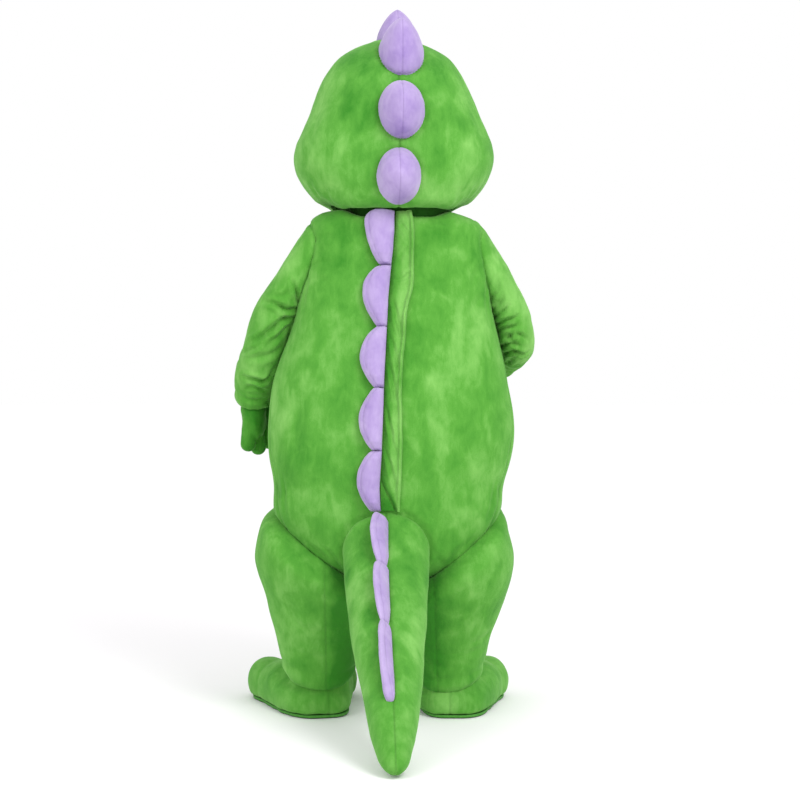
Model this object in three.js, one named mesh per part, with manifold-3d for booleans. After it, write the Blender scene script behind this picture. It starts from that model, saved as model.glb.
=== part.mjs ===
// Dinosaur mascot costume, worn: a hollow plush suit with a foam-backed head, stuffed
// spikes and tail, gloves and foot covers. Millimetres, +Z up, facing +Y. Heights in the
// tables are above the floor; the whole group is then lowered so that the origin is
// between the wearer's shoulders, where the suit is held up.
import * as THREE from "three";
import { mergeVertices } from "three/addons/utils/BufferGeometryUtils.js";
import Module from "manifold-3d";

const wasm = await Module();
wasm.setup();

// ---------------------------------------------------------------- driving sizes
const SHOULDER_Z = 1311; // the wearer's shoulders above the floor
const SUIT_WALL = 3; // plush cloth with its backing
const HEAD_WALL = 9; // plush on foam
const GLOVE_WALL = 2.5;
const SHOE_WALL = 6; // padded
const GAP = 0.3; // between sewn pieces
const HEAD_YAW = 3; // degrees the head is turned
const HEAD_PIVOT_X = -1.5;
const HEAD_SEAM_X = 5; // centre-back seam of the head, in the head's own frame
const SOLE_THICK = 9;

const GREEN = 0x68b24a,
  LAVENDER = 0xbba8dc,
  DARK = 0x2a2d28,
  WHITE = 0xf2f2ee;

// ---------------------------------------------------------------- tables
const table = (names, rows) =>
  rows.map((r) => Object.fromEntries(names.map((n, i) => [n, r[i]])));

// Body sections from the neck opening to the crotch: centre x, half width, depth behind and
// in front of the middle, and the exponent that squares the oval.
const BODY = table(
  ["z", "cx", "rx", "back", "front", "n"],
  [
    [1349, 10, 148, 110, 116, 2.1],
    [1338, -6, 189, 117, 124, 2.3],
    [1320, -4, 221, 123, 132, 2.6],
    [1294, 4, 233, 128, 140, 2.9],
    [1225, 6.75, 240, 133, 156, 3.0],
    [1167, 5.4, 246, 141, 178, 2.95],
    [1105, 0, 256, 152, 206, 2.85],
    [1032, -3, 274, 166, 240, 2.7],
    [960, -8, 296, 181, 266, 2.55],
    [890, -12, 315, 196, 288, 2.4],
    [820, -10, 328, 207, 300, 2.3],
    [750, -10, 332, 213, 304, 2.3],
    [680, -14, 325, 215, 300, 2.3],
    [615, -17, 311, 213, 288, 2.3],
    [550, -20, 305, 210, 266, 2.35],
    [490, -20, 276, 205, 234, 2.4],
    [430, -18, 240, 192, 190, 2.4],
    [385, -14, 190, 160, 142, 2.3],
    [356, -11, 120, 105, 92, 2.2],
    [345, -10, 0, 0, 0, 2.1],
  ],
);

// Leg seam planes: z = z0 + sx * x + sy * y.
const LEG_PLANE = {
  left: { z0: 319, sx: -0.7, sy: 0.18 },
  right: { z0: 332.5, sx: 0.75, sy: 0.18 },
};
// Leg sections under the seam. Each lies in a plane of its own slopes.
const LEGS = {
  left: table(
    ["z", "cx", "cy", "rx", "back", "front", "n", "sx", "sy"],
    [
      [403, -202, 4, 165, 196, 206, 2.3, -0.56, 0.16],
      [360, -211, 4, 168, 184, 196, 2.2, -0.45, 0.13],
      [323, -212, 3, 159, 166, 180, 2.15, -0.39, 0.12],
      [280, -209.5, 1, 142, 146, 160, 2.1, -0.32, 0.12],
      [237, -210, -1, 128, 129, 140, 2.1, -0.25, 0.13],
      [190, -209, -2, 113, 115, 122, 2.1, -0.18, 0.16],
      [145, -207, -3, 101, 105, 108, 2.1, -0.1, 0.24],
      [108, -203.5, -3, 91, 100, 99, 2.1, -0.05, 0.32],
    ],
  ),
  right: table(
    ["z", "cx", "cy", "rx", "back", "front", "n", "sx", "sy"],
    [
      [395, 158, 4, 149, 192, 202, 2.3, 0.62, 0.16],
      [351, 167, 4, 154, 180, 194, 2.2, 0.51, 0.13],
      [313, 168, 3, 149, 164, 178, 2.15, 0.44, 0.12],
      [273, 165, 1, 137, 146, 158, 2.1, 0.38, 0.12],
      [233, 160, -1, 122.5, 128, 138, 2.1, 0.31, 0.13],
      [189, 154, -2, 106, 113, 120, 2.1, 0.24, 0.15],
      [138, 150, -3, 94, 103, 106, 2.1, 0.14, 0.2],
      [92, 145, -3, 84, 97, 96, 2.1, 0.09, 0.24],
    ],
  ),
};

// Sleeve sections along the arm: centre, half width across and half depth.
const SLEEVES = {
  left: table(
    ["x", "y", "z", "ru", "rw"],
    [
      [-176, 0, 1292, 50, 76],
      [-202, 2, 1268, 52, 78],
      [-247, 6, 1201, 52, 76],
      [-288, 10, 1139, 52, 72],
      [-322, 14, 1078, 58, 68],
      [-340, 22, 1025, 60, 66],
      [-356, 36, 972, 59, 64],
      [-378, 62, 912, 60, 60],
      [-387, 84, 868, 53, 54],
      [-391, 98, 832, 46, 50],
    ],
  ),
  right: table(
    ["x", "y", "z", "ru", "rw"],
    [
      [180, 0, 1292, 50, 76],
      [205, 2, 1266, 50, 78],
      [246, 6, 1202, 50, 76],
      [285, 10, 1132, 49, 70],
      [313, 16, 1076, 50, 64],
      [324, 24, 1035, 50, 60],
      [332, 50, 1001, 49, 56],
      [333, 96, 990, 47, 52],
      [325, 150, 978, 46, 52],
      [308, 200, 962, 46, 50],
      [292, 240, 936, 42, 46],
    ],
  ),
};
// The largest folds in the sleeves: where along the arm (row number), on which side
// (degrees round it, 0 outward), how deep (mm) and how wide along and around.
const SLEEVE_FOLDS = {
  left: table(
    ["s", "angle", "depth", "ws", "wa"],
    [
      [3.2, 190, 7, 0.22, 60],
      [4.3, 175, 8, 0.2, 70],
      [5.3, 185, 9, 0.22, 75],
      [6.2, 170, 8, 0.22, 80],
      [7.2, 180, 6, 0.2, 80],
    ],
  ),
  right: table(
    ["s", "angle", "depth", "ws", "wa"],
    [
      [3.4, 180, 7, 0.22, 60],
      [4.6, 200, 8, 0.22, 70],
      [5.5, 225, 9, 0.2, 70],
      [6.2, 250, 8, 0.2, 60],
      [7.2, 255, 6, 0.22, 60],
    ],
  ),
};

// Gloves: the palm's sections, then the fingers from root to tip.
const PALMS = {
  left: table(
    ["x", "y", "z", "ru", "rw"],
    [
      [-389, 92, 862, 34, 40],
      [-391, 99, 830, 34, 40],
      [-390, 107, 795, 33, 50],
      [-387, 116, 765, 30, 56],
      [-384, 122, 748, 20, 46],
    ],
  ),
  right: table(
    ["x", "y", "z", "ru", "rw"],
    [
      [301, 218, 951, 29, 31],
      [291, 243, 932, 28, 30],
      [283, 257, 896, 32, 48],
      [278, 268, 868, 29, 54],
      [275, 274, 850, 20, 44],
    ],
  ),
};
const FINGERS = {
  left: table(
    ["x0", "y0", "z0", "x1", "y1", "z1", "r"],
    [
      [-399, 80, 785, -404, 84, 722, 22],
      [-386, 112, 780, -379, 122, 711, 22],
      [-370, 142, 785, -355, 158, 725, 21],
      [-368, 140, 815, -345, 178, 772, 20],
    ],
  ),
  right: table(
    ["x0", "y0", "z0", "x1", "y1", "z1", "r"],
    [
      [294, 238, 880, 297, 262, 822, 21],
      [281, 266, 880, 279, 293, 818, 22],
      [263, 292, 884, 257, 318, 826, 21],
      [262, 284, 908, 236, 318, 878, 20],
    ],
  ),
};

// Foot covers: heel to toe sections along the foot (distance from the ankle axis), half
// widths to either side and height, then three toes.
const FOOT = {
  left: { x: -204, y: -5, turn: 13 },
  right: { x: 146, y: -5, turn: -3 },
};
const ANKLE = { across: 80, along: 86, top: 150 };
const FOOT_SECTIONS = table(
  ["along", "outer", "inner", "high", "lift"],
  [
    [-99, 30, 14, 44, 20],
    [-90, 58, 40, 66, 9],
    [-60, 90, 66, 82, 9],
    [-15, 110, 84, 96, 9],
    [40, 125, 97, 114, 9],
    [100, 137, 112, 130, 9],
    [170, 147, 122, 122, 9],
    [235, 134, 114, 104, 9],
    [290, 60, 56, 60, 12],
  ],
);
// Stuffed toes in the foot's own frame: side (outer is positive), forward, half width, half
// length, height.
const TOES = table(
  ["side", "along", "rs", "rl", "high"],
  [
    [99, 224, 63, 108, 114],
    [4, 262, 62, 108, 130],
    [-88, 226, 58, 100, 118],
  ],
);

// Tail: centre line and half widths.
const TAIL = table(
  ["x", "y", "z", "ru", "rw"],
  [
    [-22, -120, 533, 110, 78],
    [-22, -215, 448, 112, 80],
    [-20, -300, 372, 105, 80],
    [-16, -400, 290, 95, 78],
    [-10, -500, 206, 81, 71],
    [-4, -590, 132, 66, 60],
    [-3, -660, 82, 54, 50],
    [-1, -712, 50, 42, 40],
    [2, -748, 31, 31, 28],
    [4, -768, 20, 17, 15],
  ],
);
const TAIL_TIP = { x: 5, y: -777, z: 14 };

// Head sections from the neck hole to the crown.
const HEAD_CY = 30;
const HEAD = table(
  ["z", "rx", "back", "front", "n"],
  [
    [1351, 174, 178, 150, 2.2],
    [1362, 194, 196, 168, 2.25],
    [1386, 220, 210, 190, 2.3],
    [1420, 245, 217, 206, 2.35],
    [1458, 264, 220, 216, 2.35],
    [1495, 270, 220, 219, 2.3],
    [1530, 264, 218, 216, 2.25],
    [1562, 251, 214, 208, 2.2],
    [1600, 234, 207, 196, 2.15],
    [1645, 218, 194, 180, 2.1],
    [1690, 201, 173, 160, 2.1],
    [1730, 178, 146, 137, 2.1],
    [1766, 147, 113, 110, 2.05],
    [1795, 100, 72, 74, 2],
    [1810, 54, 38, 40, 2],
    [1815, 0, 0, 0, 2],
  ],
);
// The muzzle, an egg that swells out of the face, and how softly it joins (mm).
const MUZZLE = { y: 176, z: 1448, rx: 176, ry: 172, rz: 90, soft: 26 };
// Head spikes: the point on the midline where each stands (y, z), the way it points
// (degrees above straight back), half width, half length along the head, height.
const HEAD_SPIKES = table(
  ["x", "y", "z", "aim", "rs", "rl", "high", "lean"],
  [
    [12, 84, 1804, 84, 60, 68, 106, 2],
    [14, -72, 1748, 48, 61, 90, 118, 3],
    [10, -166, 1596, 12, 61, 79, 104, 0],
    [2, -180, 1427, -2, 58, 73, 100, 0],
  ],
);

// Spine line on the back, where the back spikes are sewn on: x against height.
const SPINE = table(
  ["z", "x"],
  [
    [1345, -2],
    [1290, -2],
    [1240, -6],
    [1180, -12],
    [1110, -18],
    [1000, -23],
    [900, -28],
    [800, -31],
    [700, -35],
    [620, -40],
    [540, -36],
  ],
);
// Back spikes, flopped to the left: top and bottom of the seam, reach to the left.
const BACK_SPIKES = table(
  ["top", "bottom", "reach", "peak", "blunt"],
  [
    [1337, 1197.4, 78, 0.2, 0.6],
    [1196.6, 1036.4, 69, 0.4, 0.85],
    [1035.6, 878.4, 66, 0.47, 0.85],
    [877.6, 717.4, 62, 0.5, 0.85],
    [716.6, 561, 60, 0.46, 0.85],
  ],
);
const BACK_SPIKE_THICK = 30;
const SPIKE_NECK = 25; // how wide the strip of spikes stays between two of them
// Tail spikes on the tail's top: from and to (row number along the tail), reach, lean.
const TAIL_SPIKES = table(
  ["from", "to", "high", "lean", "thick", "peak"],
  [
    [0.64, 2.0, 60, 34, 32, 0.36],
    [2.012, 3.46, 56, 30, 30, 0.36],
    [3.472, 5.42, 51, 24, 29, 0.36],
  ],
);

// Placket: left and right edge against height, and how far its fold stands up.
const PLACKET = table(
  ["z", "left", "right", "stand"],
  [
    [1340, 2, 44, 4],
    [1290, 2, 51, 6],
    [1200, -6, 49, 7],
    [1140, -12, 47, 6],
    [1080, -17, 33, 8],
    [1000, -20, 27, 7],
    [900, -25, 18, 7],
    [830, -27, 18, 6],
    [740, -29, 20, 6],
    [660, -33, 17, 6],
    [632, -31, 16, 6],
    [600, -14, 14, 5],
    [560, 3, 13, 4],
  ],
);
const UNDERLAP = table(
  ["z", "left", "right"],
  [
    [640, -37, -35.5],
    [600, -36, -18.5],
    [562, -35, -0.5],
  ],
);

// Eyes (mirrored), pupils and the mouth panel.
const EYE = { x: 88, y: 172, z: 1640, rx: 50, ry: 44, rz: 62 };
const PUPIL = { x: 80, y: 204, z: 1636, rx: 22, ry: 20, rz: 30 };
const MOUTH = { half: 138, z: 1412, drop: 15, rise: 40 };

// ---------------------------------------------------------------- curves
// A table read between its rows, smooth through each row (Catmull-Rom).
function at(rows, s) {
  const last = rows.length - 1,
    i = Math.min(Math.max(Math.floor(s), 0), last - 1),
    f = s - i;
  const row = (k) => rows[Math.min(Math.max(k, 0), last)];
  const out = {};
  for (const key of Object.keys(rows[0])) {
    const [a, b, c, d] = [row(i - 1), row(i), row(i + 1), row(i + 2)].map(
      (r) => r[key],
    );
    out[key] =
      0.5 *
      (2 * b +
        (c - a) * f +
        (2 * a - 5 * b + 4 * c - d) * f * f +
        (3 * b - a - 3 * c + d) * f * f * f);
  }
  return out;
}
// The same, looked up by height.
function atZ(rows, z) {
  let lo = 0,
    hi = rows.length - 1;
  const down = rows[0].z > rows[hi].z;
  for (let k = 0; k < 40; k++) {
    const mid = (lo + hi) / 2;
    if (at(rows, mid).z > z === down) lo = mid;
    else hi = mid;
  }
  return at(rows, (lo + hi) / 2);
}
const signedPower = (v, p) => Math.sign(v) * Math.abs(v) ** p;
// An oval's offset from its centre at an angle, squared off by n.
function oval(rx, back, front, n, angle) {
  const c = signedPower(Math.cos(angle), 2 / n),
    s = signedPower(Math.sin(angle), 2 / n);
  return [rx * c, (s < 0 ? back : front) * s];
}
const turns = (count) =>
  Array.from({ length: count }, (_, i) => (i * 2 * Math.PI) / count);
const steps = (from, to, count) =>
  Array.from({ length: count + 1 }, (_, i) => from + ((to - from) * i) / count);
const V = (x, y, z) => new THREE.Vector3(x, y, z);

// ---------------------------------------------------------------- surfaces to solids
// Rings of points joined into a closed solid. A ring of one point is a pole; an open first
// or last ring is capped; loop joins the last ring to the first.
function solid(rings, loop = false) {
  const pos = [],
    idx = [];
  const start = rings.map((ring) => {
    const s = pos.length / 3;
    for (const p of ring) pos.push(p.x, p.y, p.z);
    return s;
  });
  const join = (k, m) => {
    const a = rings[k],
      b = rings[m],
      count = Math.max(a.length, b.length);
    if (count === 1) return;
    for (let j = 0; j < count; j++) {
      const j2 = (j + 1) % count;
      const A = start[k] + (a.length > 1 ? j : 0),
        A2 = start[k] + (a.length > 1 ? j2 : 0);
      const B = start[m] + (b.length > 1 ? j : 0),
        B2 = start[m] + (b.length > 1 ? j2 : 0);
      if (a.length > 1) idx.push(A, A2, B);
      if (b.length > 1) idx.push(A2, B2, B);
    }
  };
  for (let k = 0; k + 1 < rings.length; k++) join(k, k + 1);
  if (loop) join(rings.length - 1, 0);
  else
    for (const [k, turn] of [
      [0, true],
      [rings.length - 1, false],
    ]) {
      const ring = rings[k];
      if (ring.length === 1) continue;
      const mid = ring
        .reduce((sum, p) => sum.add(p), V(0, 0, 0))
        .multiplyScalar(1 / ring.length);
      const m = pos.length / 3;
      pos.push(mid.x, mid.y, mid.z);
      for (let j = 0; j < ring.length; j++) {
        const A = start[k] + j,
          B = start[k] + ((j + 1) % ring.length);
        idx.push(...(turn ? [A, m, B] : [A, B, m]));
      }
    }
  return fromArrays(pos, idx);
}
function fromArrays(pos, idx) {
  const g = new THREE.BufferGeometry();
  g.setAttribute("position", new THREE.Float32BufferAttribute(pos, 3));
  g.setIndex(idx);
  return fromGeometry(g);
}
function fromGeometry(source) {
  const g = source.clone();
  g.deleteAttribute("normal");
  g.deleteAttribute("uv");
  const m = mergeVertices(g, 1e-4);
  const p = m.attributes.position.array;
  const t = [];
  let volume = 0;
  for (let i = 0; i < m.index.count; i += 3) {
    const [a, b, c] = [0, 1, 2].map((k) => m.index.array[i + k]);
    if (a === b || b === c || c === a) continue;
    t.push(a, b, c);
    const [A, B, C] = [a, b, c].map((k) =>
      V(p[3 * k], p[3 * k + 1], p[3 * k + 2]),
    );
    volume += A.dot(B.cross(C));
  }
  if (volume < 0)
    for (let i = 0; i < t.length; i += 3)
      [t[i + 1], t[i + 2]] = [t[i + 2], t[i + 1]];
  return new wasm.Manifold(
    new wasm.Mesh({
      numProp: 3,
      vertProperties: p,
      triVerts: new Uint32Array(t),
    }),
  );
}
// The rings moved along the surface's own normals (out is positive).
function moved(rings, distance) {
  const centre = (r) =>
    r.reduce((s, p) => s.add(p), V(0, 0, 0)).multiplyScalar(1 / r.length);
  const middle = centre(rings.map(centre));
  return rings.map((ring, k) => {
    const up = rings[Math.max(k - 1, 0)],
      down = rings[Math.min(k + 1, rings.length - 1)];
    if (ring.length === 1) {
      const n = ring[0].clone().sub(centre(k ? up : down)).normalize();
      return [ring[0].clone().addScaledVector(n, distance)];
    }
    const own = centre(ring);
    return ring.map((p, j) => {
      const pick = (r, i) =>
        r.length === 1 ? r[0] : r[(i + r.length) % r.length];
      const along = pick(down, j).clone().sub(pick(up, j));
      const round = pick(ring, j + 1)
        .clone()
        .sub(pick(ring, j - 1));
      const n = round.cross(along).normalize();
      if (n.dot(p.clone().sub(own)) < 0) n.negate();
      return p.clone().addScaledVector(n, distance);
    });
  });
}
// A cloth wall between rings and the same rings moved in: open at both ends, or closed by
// the pole at the last one.
function wall(rings, thickness) {
  return solid([...rings, ...moved(rings, -thickness).reverse()], true);
}
// The rings' filled form, grown a little.
const filled = (rings, grow = 0) => solid(grow ? moved(rings, grow) : rings);
// The largest body of a cut.
function largest(m) {
  return m.decompose().sort((a, b) => b.volume() - a.volume())[0];
}
// One side of a plane through a point, kept GAP/2 away from it.
function side(m, normal, point) {
  const n = normal.clone().normalize();
  return m.trimByPlane([n.x, n.y, n.z], n.dot(point) + GAP / 2);
}

// ---------------------------------------------------------------- rings of each form
const bodyRing = (row, count) =>
  row.rx < 1
    ? [V(row.cx, 0, row.z)]
    : turns(count).map((a) => {
        const [x, y] = oval(row.rx, row.back, row.front, row.n, a);
        return V(row.cx + x, y, row.z);
      });
// How far inside (below 0) or outside (above 0) the body's oval a point is.
function bodyDepth(p) {
  if (p.z <= BODY.at(-1).z || p.z >= BODY[0].z) return 1;
  const r = atZ(BODY, p.z);
  const dx = Math.abs(p.x - r.cx) / r.rx,
    dy = Math.abs(p.y) / (p.y < 0 ? r.back : r.front);
  return dx ** r.n + dy ** r.n - 1;
}
const planeZ = (plane, x, y) => plane.z0 + plane.sx * x + plane.sy * y;
// The leg hole: where the seam plane leaves the body.
function legHole(name, count) {
  const plane = LEG_PLANE[name],
    row = LEGS[name][0],
    cx = row.cx * 0.93;
  return turns(count).map((a) => {
    let lo = 0,
      hi = 420;
    for (let k = 0; k < 40; k++) {
      const t = (lo + hi) / 2,
        x = cx + t * Math.cos(a),
        y = t * Math.sin(a);
      if (bodyDepth(V(x, y, planeZ(plane, x, y))) < 0) lo = t;
      else hi = t;
    }
    const x = cx + lo * Math.cos(a),
      y = lo * Math.sin(a);
    return V(x, y, planeZ(plane, x, y));
  });
}
const legRing = (row, count) =>
  turns(count).map((a) => {
    const [x, y] = oval(row.rx, row.back, row.front, row.n, a);
    return V(row.cx + x, row.cy + y, row.z + row.sx * x + row.sy * y);
  });
// Rings round a curved centre line, square to it. The frame is carried along without twist.
function tube(rows, stations, count, folds = []) {
  let u = null,
    before = null;
  return stations.map((s) => {
    const r = at(rows, s),
      a = at(rows, Math.max(s - 0.05, 0)),
      b = at(rows, Math.min(s + 0.05, rows.length - 1));
    const t = V(b.x - a.x, b.y - a.y, b.z - a.z).normalize();
    if (!u) {
      u = V(0, 1, 0).cross(t).normalize();
      if (u.x * r.x < 0) u.negate();
    } else {
      const q = new THREE.Quaternion().setFromUnitVectors(before, t);
      u.applyQuaternion(q);
    }
    before = t.clone();
    const w = t.clone().cross(u);
    return turns(count).map((angle) => {
      let fold = 0;
      for (const f of folds) {
        let d = ((angle * 180) / Math.PI - f.angle) % 360;
        if (d > 180) d -= 360;
        if (d < -180) d += 360;
        fold +=
          f.depth *
          Math.exp(-(((s - f.s) / f.ws) ** 2) - (d / f.wa) ** 2);
      }
      return V(r.x, r.y, r.z)
        .addScaledVector(u, (r.ru - fold) * Math.cos(angle))
        .addScaledVector(w, (r.rw - fold) * Math.sin(angle));
    });
  });
}

// ---------------------------------------------------------------- the nodes
const root = new THREE.Group();
root.position.z = -SHOULDER_Z;
function add(name, m, colour, roughness = 0.9, parent = root) {
  const { numProp, vertProperties, triVerts } = m.getMesh();
  const g = new THREE.BufferGeometry();
  const pos = [];
  for (let i = 0; i < vertProperties.length; i += numProp)
    pos.push(
      vertProperties[i],
      vertProperties[i + 1],
      vertProperties[i + 2],
    );
  g.setAttribute("position", new THREE.Float32BufferAttribute(pos, 3));
  g.setIndex(new THREE.BufferAttribute(new Uint32Array(triVerts), 1));
  g.computeVertexNormals();
  const mesh = new THREE.Mesh(
    g,
    new THREE.MeshStandardMaterial({ color: colour, roughness, metalness: 0 }),
  );
  mesh.name = name;
  parent.add(mesh);
  return mesh;
}

// ---- body
const BODY_SIDES = 20;
const bodyStations = [0, 1, 2, 3, 4.5, 6, 8, 10, 12, 14, 15.3, 16.5, 17.4, 18.2, 19];
const bodyRings = bodyStations.map((s) => bodyRing(at(BODY, s), BODY_SIDES));
const bodyWall = wall(bodyRings, SUIT_WALL);
const bodyOuter = filled(bodyRings, GAP + 0.1);

const sleeveStations = {
  left: [0, 1, 2, 3.2, 3.8, 4.3, 4.8, 5.3, 5.75, 6.2, 6.7, 7.2, 8, 9],
  right: [0, 1, 2, 3.4, 4, 4.6, 5.1, 5.5, 5.85, 6.2, 6.7, 7.2, 8.5, 10],
};
const SLEEVE_SIDES = 9;
const sleeveRings = {},
  sleeveInner = {};
for (const name of ["left", "right"]) {
  sleeveRings[name] = tube(
    SLEEVES[name],
    sleeveStations[name],
    SLEEVE_SIDES,
    SLEEVE_FOLDS[name],
  );
  sleeveInner[name] = filled(moved(sleeveRings[name], -SUIT_WALL));
}

let body = bodyWall;
for (const name of ["left", "right"]) {
  const p = LEG_PLANE[name];
  body = side(body, V(-p.sx, -p.sy, 1), V(0, 0, p.z0));
  body = body.subtract(sleeveInner[name]);
}
body = largest(body);

// The side seams run a little behind the widest line; the back is cut in two under the
// placket.
const SIDE_SEAM = { y0: -85, z0: 540, slope: 0.105 };
const seamNormal = V(0, -1, SIDE_SEAM.slope),
  seamPoint = V(0, SIDE_SEAM.y0, SIDE_SEAM.z0);
const bodyBack = side(body, seamNormal, seamPoint);
const bodyFront = side(body, seamNormal.clone().negate(), seamPoint);
const backSeamPoint = V(-14, 0, 900),
  backSeamNormal = V(1, 0, 0);
const frontSeamPoint = V(-2, 0, 900),
  frontSeamNormal = V(1, 0, 0);
add(
  "body_front_left",
  largest(side(bodyFront, frontSeamNormal.clone().negate(), frontSeamPoint)),
  GREEN,
);
add(
  "body_front_right",
  largest(side(bodyFront, frontSeamNormal, frontSeamPoint)),
  GREEN,
);
add(
  "body_back_left",
  largest(side(bodyBack, backSeamNormal.clone().negate(), backSeamPoint)),
  GREEN,
);
add(
  "body_back_right",
  largest(side(bodyBack, backSeamNormal, backSeamPoint)),
  GREEN,
);

// ---- collar, standing in the neck opening
const neck = BODY[0];
const COLLAR = table(
  ["z", "cx", "rx", "back", "front", "n"],
  [
    [neck.z + GAP, neck.cx, neck.rx, neck.back, neck.front, neck.n],
    [1368, 8, 146, 110, 114, 2.1],
    [1392, 3, 150, 114, 114, 2.1],
  ],
);
add(
  "collar",
  wall(
    COLLAR.map((r) => bodyRing(r, BODY_SIDES)),
    SUIT_WALL,
  ),
  GREEN,
);

// ---- sleeves and gloves
for (const name of ["left", "right"]) {
  const sleeve = wall(sleeveRings[name], SUIT_WALL).subtract(bodyOuter);
  add("sleeve_" + name, largest(sleeve), GREEN);

  const hand = (shrink) => {
    const palm = tube(
      PALMS[name].map((r) => ({
        ...r,
        ru: r.ru - shrink,
        rw: r.rw - shrink,
      })),
      shrink ? [0, 1, 2, 3, 3.7] : [0, 1, 2, 3, 4],
      8,
    );
    let m = filled(palm);
    if (shrink) {
      const top = palm[0].map((p, i) =>
        p.clone().addScaledVector(p.clone().sub(palm[1][i]), 0.4),
      );
      m = m.add(solid([top, palm[0]]));
    }
    for (const f of FINGERS[name]) {
      const r = f.r - shrink,
        a = V(f.x0, f.y0, f.z0),
        b = V(f.x1, f.y1, f.z1);
      const t = b.clone().sub(a),
        length = t.length();
      t.normalize();
      const g = new THREE.CapsuleGeometry(r, length, 2, 6);
      g.applyQuaternion(
        new THREE.Quaternion().setFromUnitVectors(V(0, 1, 0), t),
      );
      const mid = a.clone().add(b).multiplyScalar(0.5);
      g.translate(mid.x, mid.y, mid.z);
      m = m.add(fromGeometry(g));
    }
    return m;
  };
  add("glove_" + name, largest(hand(0).subtract(hand(GLOVE_WALL))), GREEN);
}

// ---- legs
const LEG_SIDES = 16;
const LEG_SEAM = { left: [-182, 0], right: [101, -0.04] }; // x at z = 400, slope with z
const legOuter = {},
  legBand = {};
for (const name of ["left", "right"]) {
  const rows = LEGS[name],
    hole = legHole(name, LEG_SIDES);
  const top = hole.map((p) => V(p.x, p.y, p.z - GAP / 2));
  const rings = [
    top,
    ...[0, 1, 2, 3.5, 5, 6, 7].map((s) => legRing(at(rows, s), LEG_SIDES)),
  ];
  // the first ring under the seam swells out from the hole
  const swell = top.map((p, j) => {
    const q = rings[1][j];
    return V(
      p.x + (q.x - p.x) * 0.66,
      p.y + (q.y - p.y) * 0.66,
      p.z + (q.z - p.z) * 0.38,
    );
  });
  rings.splice(1, 0, swell);
  legOuter[name] = filled(rings, GAP + 0.2);
  // the leg's cloth with a little room on every side
  const below = rings.at(-1).map((p) => p.clone().add(V(0, 0, -0.6)));
  const roomy = [...rings.slice(2), below];
  legBand[name] = solid(
    [...moved(roomy, GAP + 0.2), ...moved(roomy, -SUIT_WALL - GAP - 0.2).reverse()],
    true,
  );
  const leg = wall(rings, SUIT_WALL);
  const p = LEG_PLANE[name];
  const cut = side(leg, V(p.sx, p.sy, -1), V(0, 0, p.z0));
  const [seamX, lean] = LEG_SEAM[name];
  const n = V(1, 0, -lean),
    q = V(seamX, 0, 400);
  const right = largest(side(cut, n, q)),
    left = largest(side(cut, n.clone().negate(), q));
  add("leg_" + name + "_outer", name === "left" ? left : right, GREEN);
  add("leg_" + name + "_inner", name === "left" ? right : left, GREEN);
}

// ---- foot covers
function footFrame(name) {
  const f = FOOT[name],
    a = (f.turn * Math.PI) / 180;
  const out = name === "left" ? -1 : 1;
  const forward = V(-Math.sin(a), Math.cos(a), 0),
    across = V(out * Math.cos(a), out * Math.sin(a), 0);
  return (sideways, along, z) =>
    V(f.x, f.y, z)
      .addScaledVector(across, sideways)
      .addScaledVector(forward, along);
}
const FOOT_SIDES = 12;
function footRings(name, shrink) {
  const place = footFrame(name);
  return FOOT_SECTIONS.map((r, k) => {
    const ends = k === 0 ? shrink : k === FOOT_SECTIONS.length - 1 ? -shrink : 0;
    return turns(FOOT_SIDES).map((a) => {
      // round above, squarer where it stands
      const under = Math.sin(a) < 0,
        c = signedPower(Math.cos(a), under ? 0.42 : 0.8),
        s = signedPower(Math.sin(a), under ? 0.6 : 0.8);
      const wide = (c > 0 ? r.outer : r.inner) - shrink,
        low = r.lift + shrink,
        high = r.high - shrink;
      const mid = low + (high - low) * 0.36;
      return place(
        Math.max(wide, 4) * c,
        r.along + ends,
        s > 0 ? mid + (high - mid) * s : mid + (mid - low) * s,
      );
    });
  });
}
function toe(name, t, shrink) {
  const place = footFrame(name);
  const rings = [];
  for (const lat of [-90, -40, 0, 38, 68, 90]) {
    const la = (lat * Math.PI) / 180,
      c = Math.cos(la),
      s = Math.sin(la);
    const z =
      s < 0
        ? SOLE_THICK + shrink + (1 + s) * (t.high * 0.42 - SOLE_THICK - shrink)
        : t.high * 0.42 + s * (t.high * 0.58 - shrink);
    const flat = s < 0 ? c ** 0.55 : c ** 0.9;
    rings.push(
      Math.abs(lat) === 90
        ? [place(t.side, t.along, z)]
          : turns(10).map((a) =>
            place(
              t.side + (t.rs - shrink) * flat * Math.cos(a),
              t.along + (t.rl - shrink) * flat * Math.sin(a),
              z,
            ),
          ),
    );
  }
  return solid(rings);
}
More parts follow.
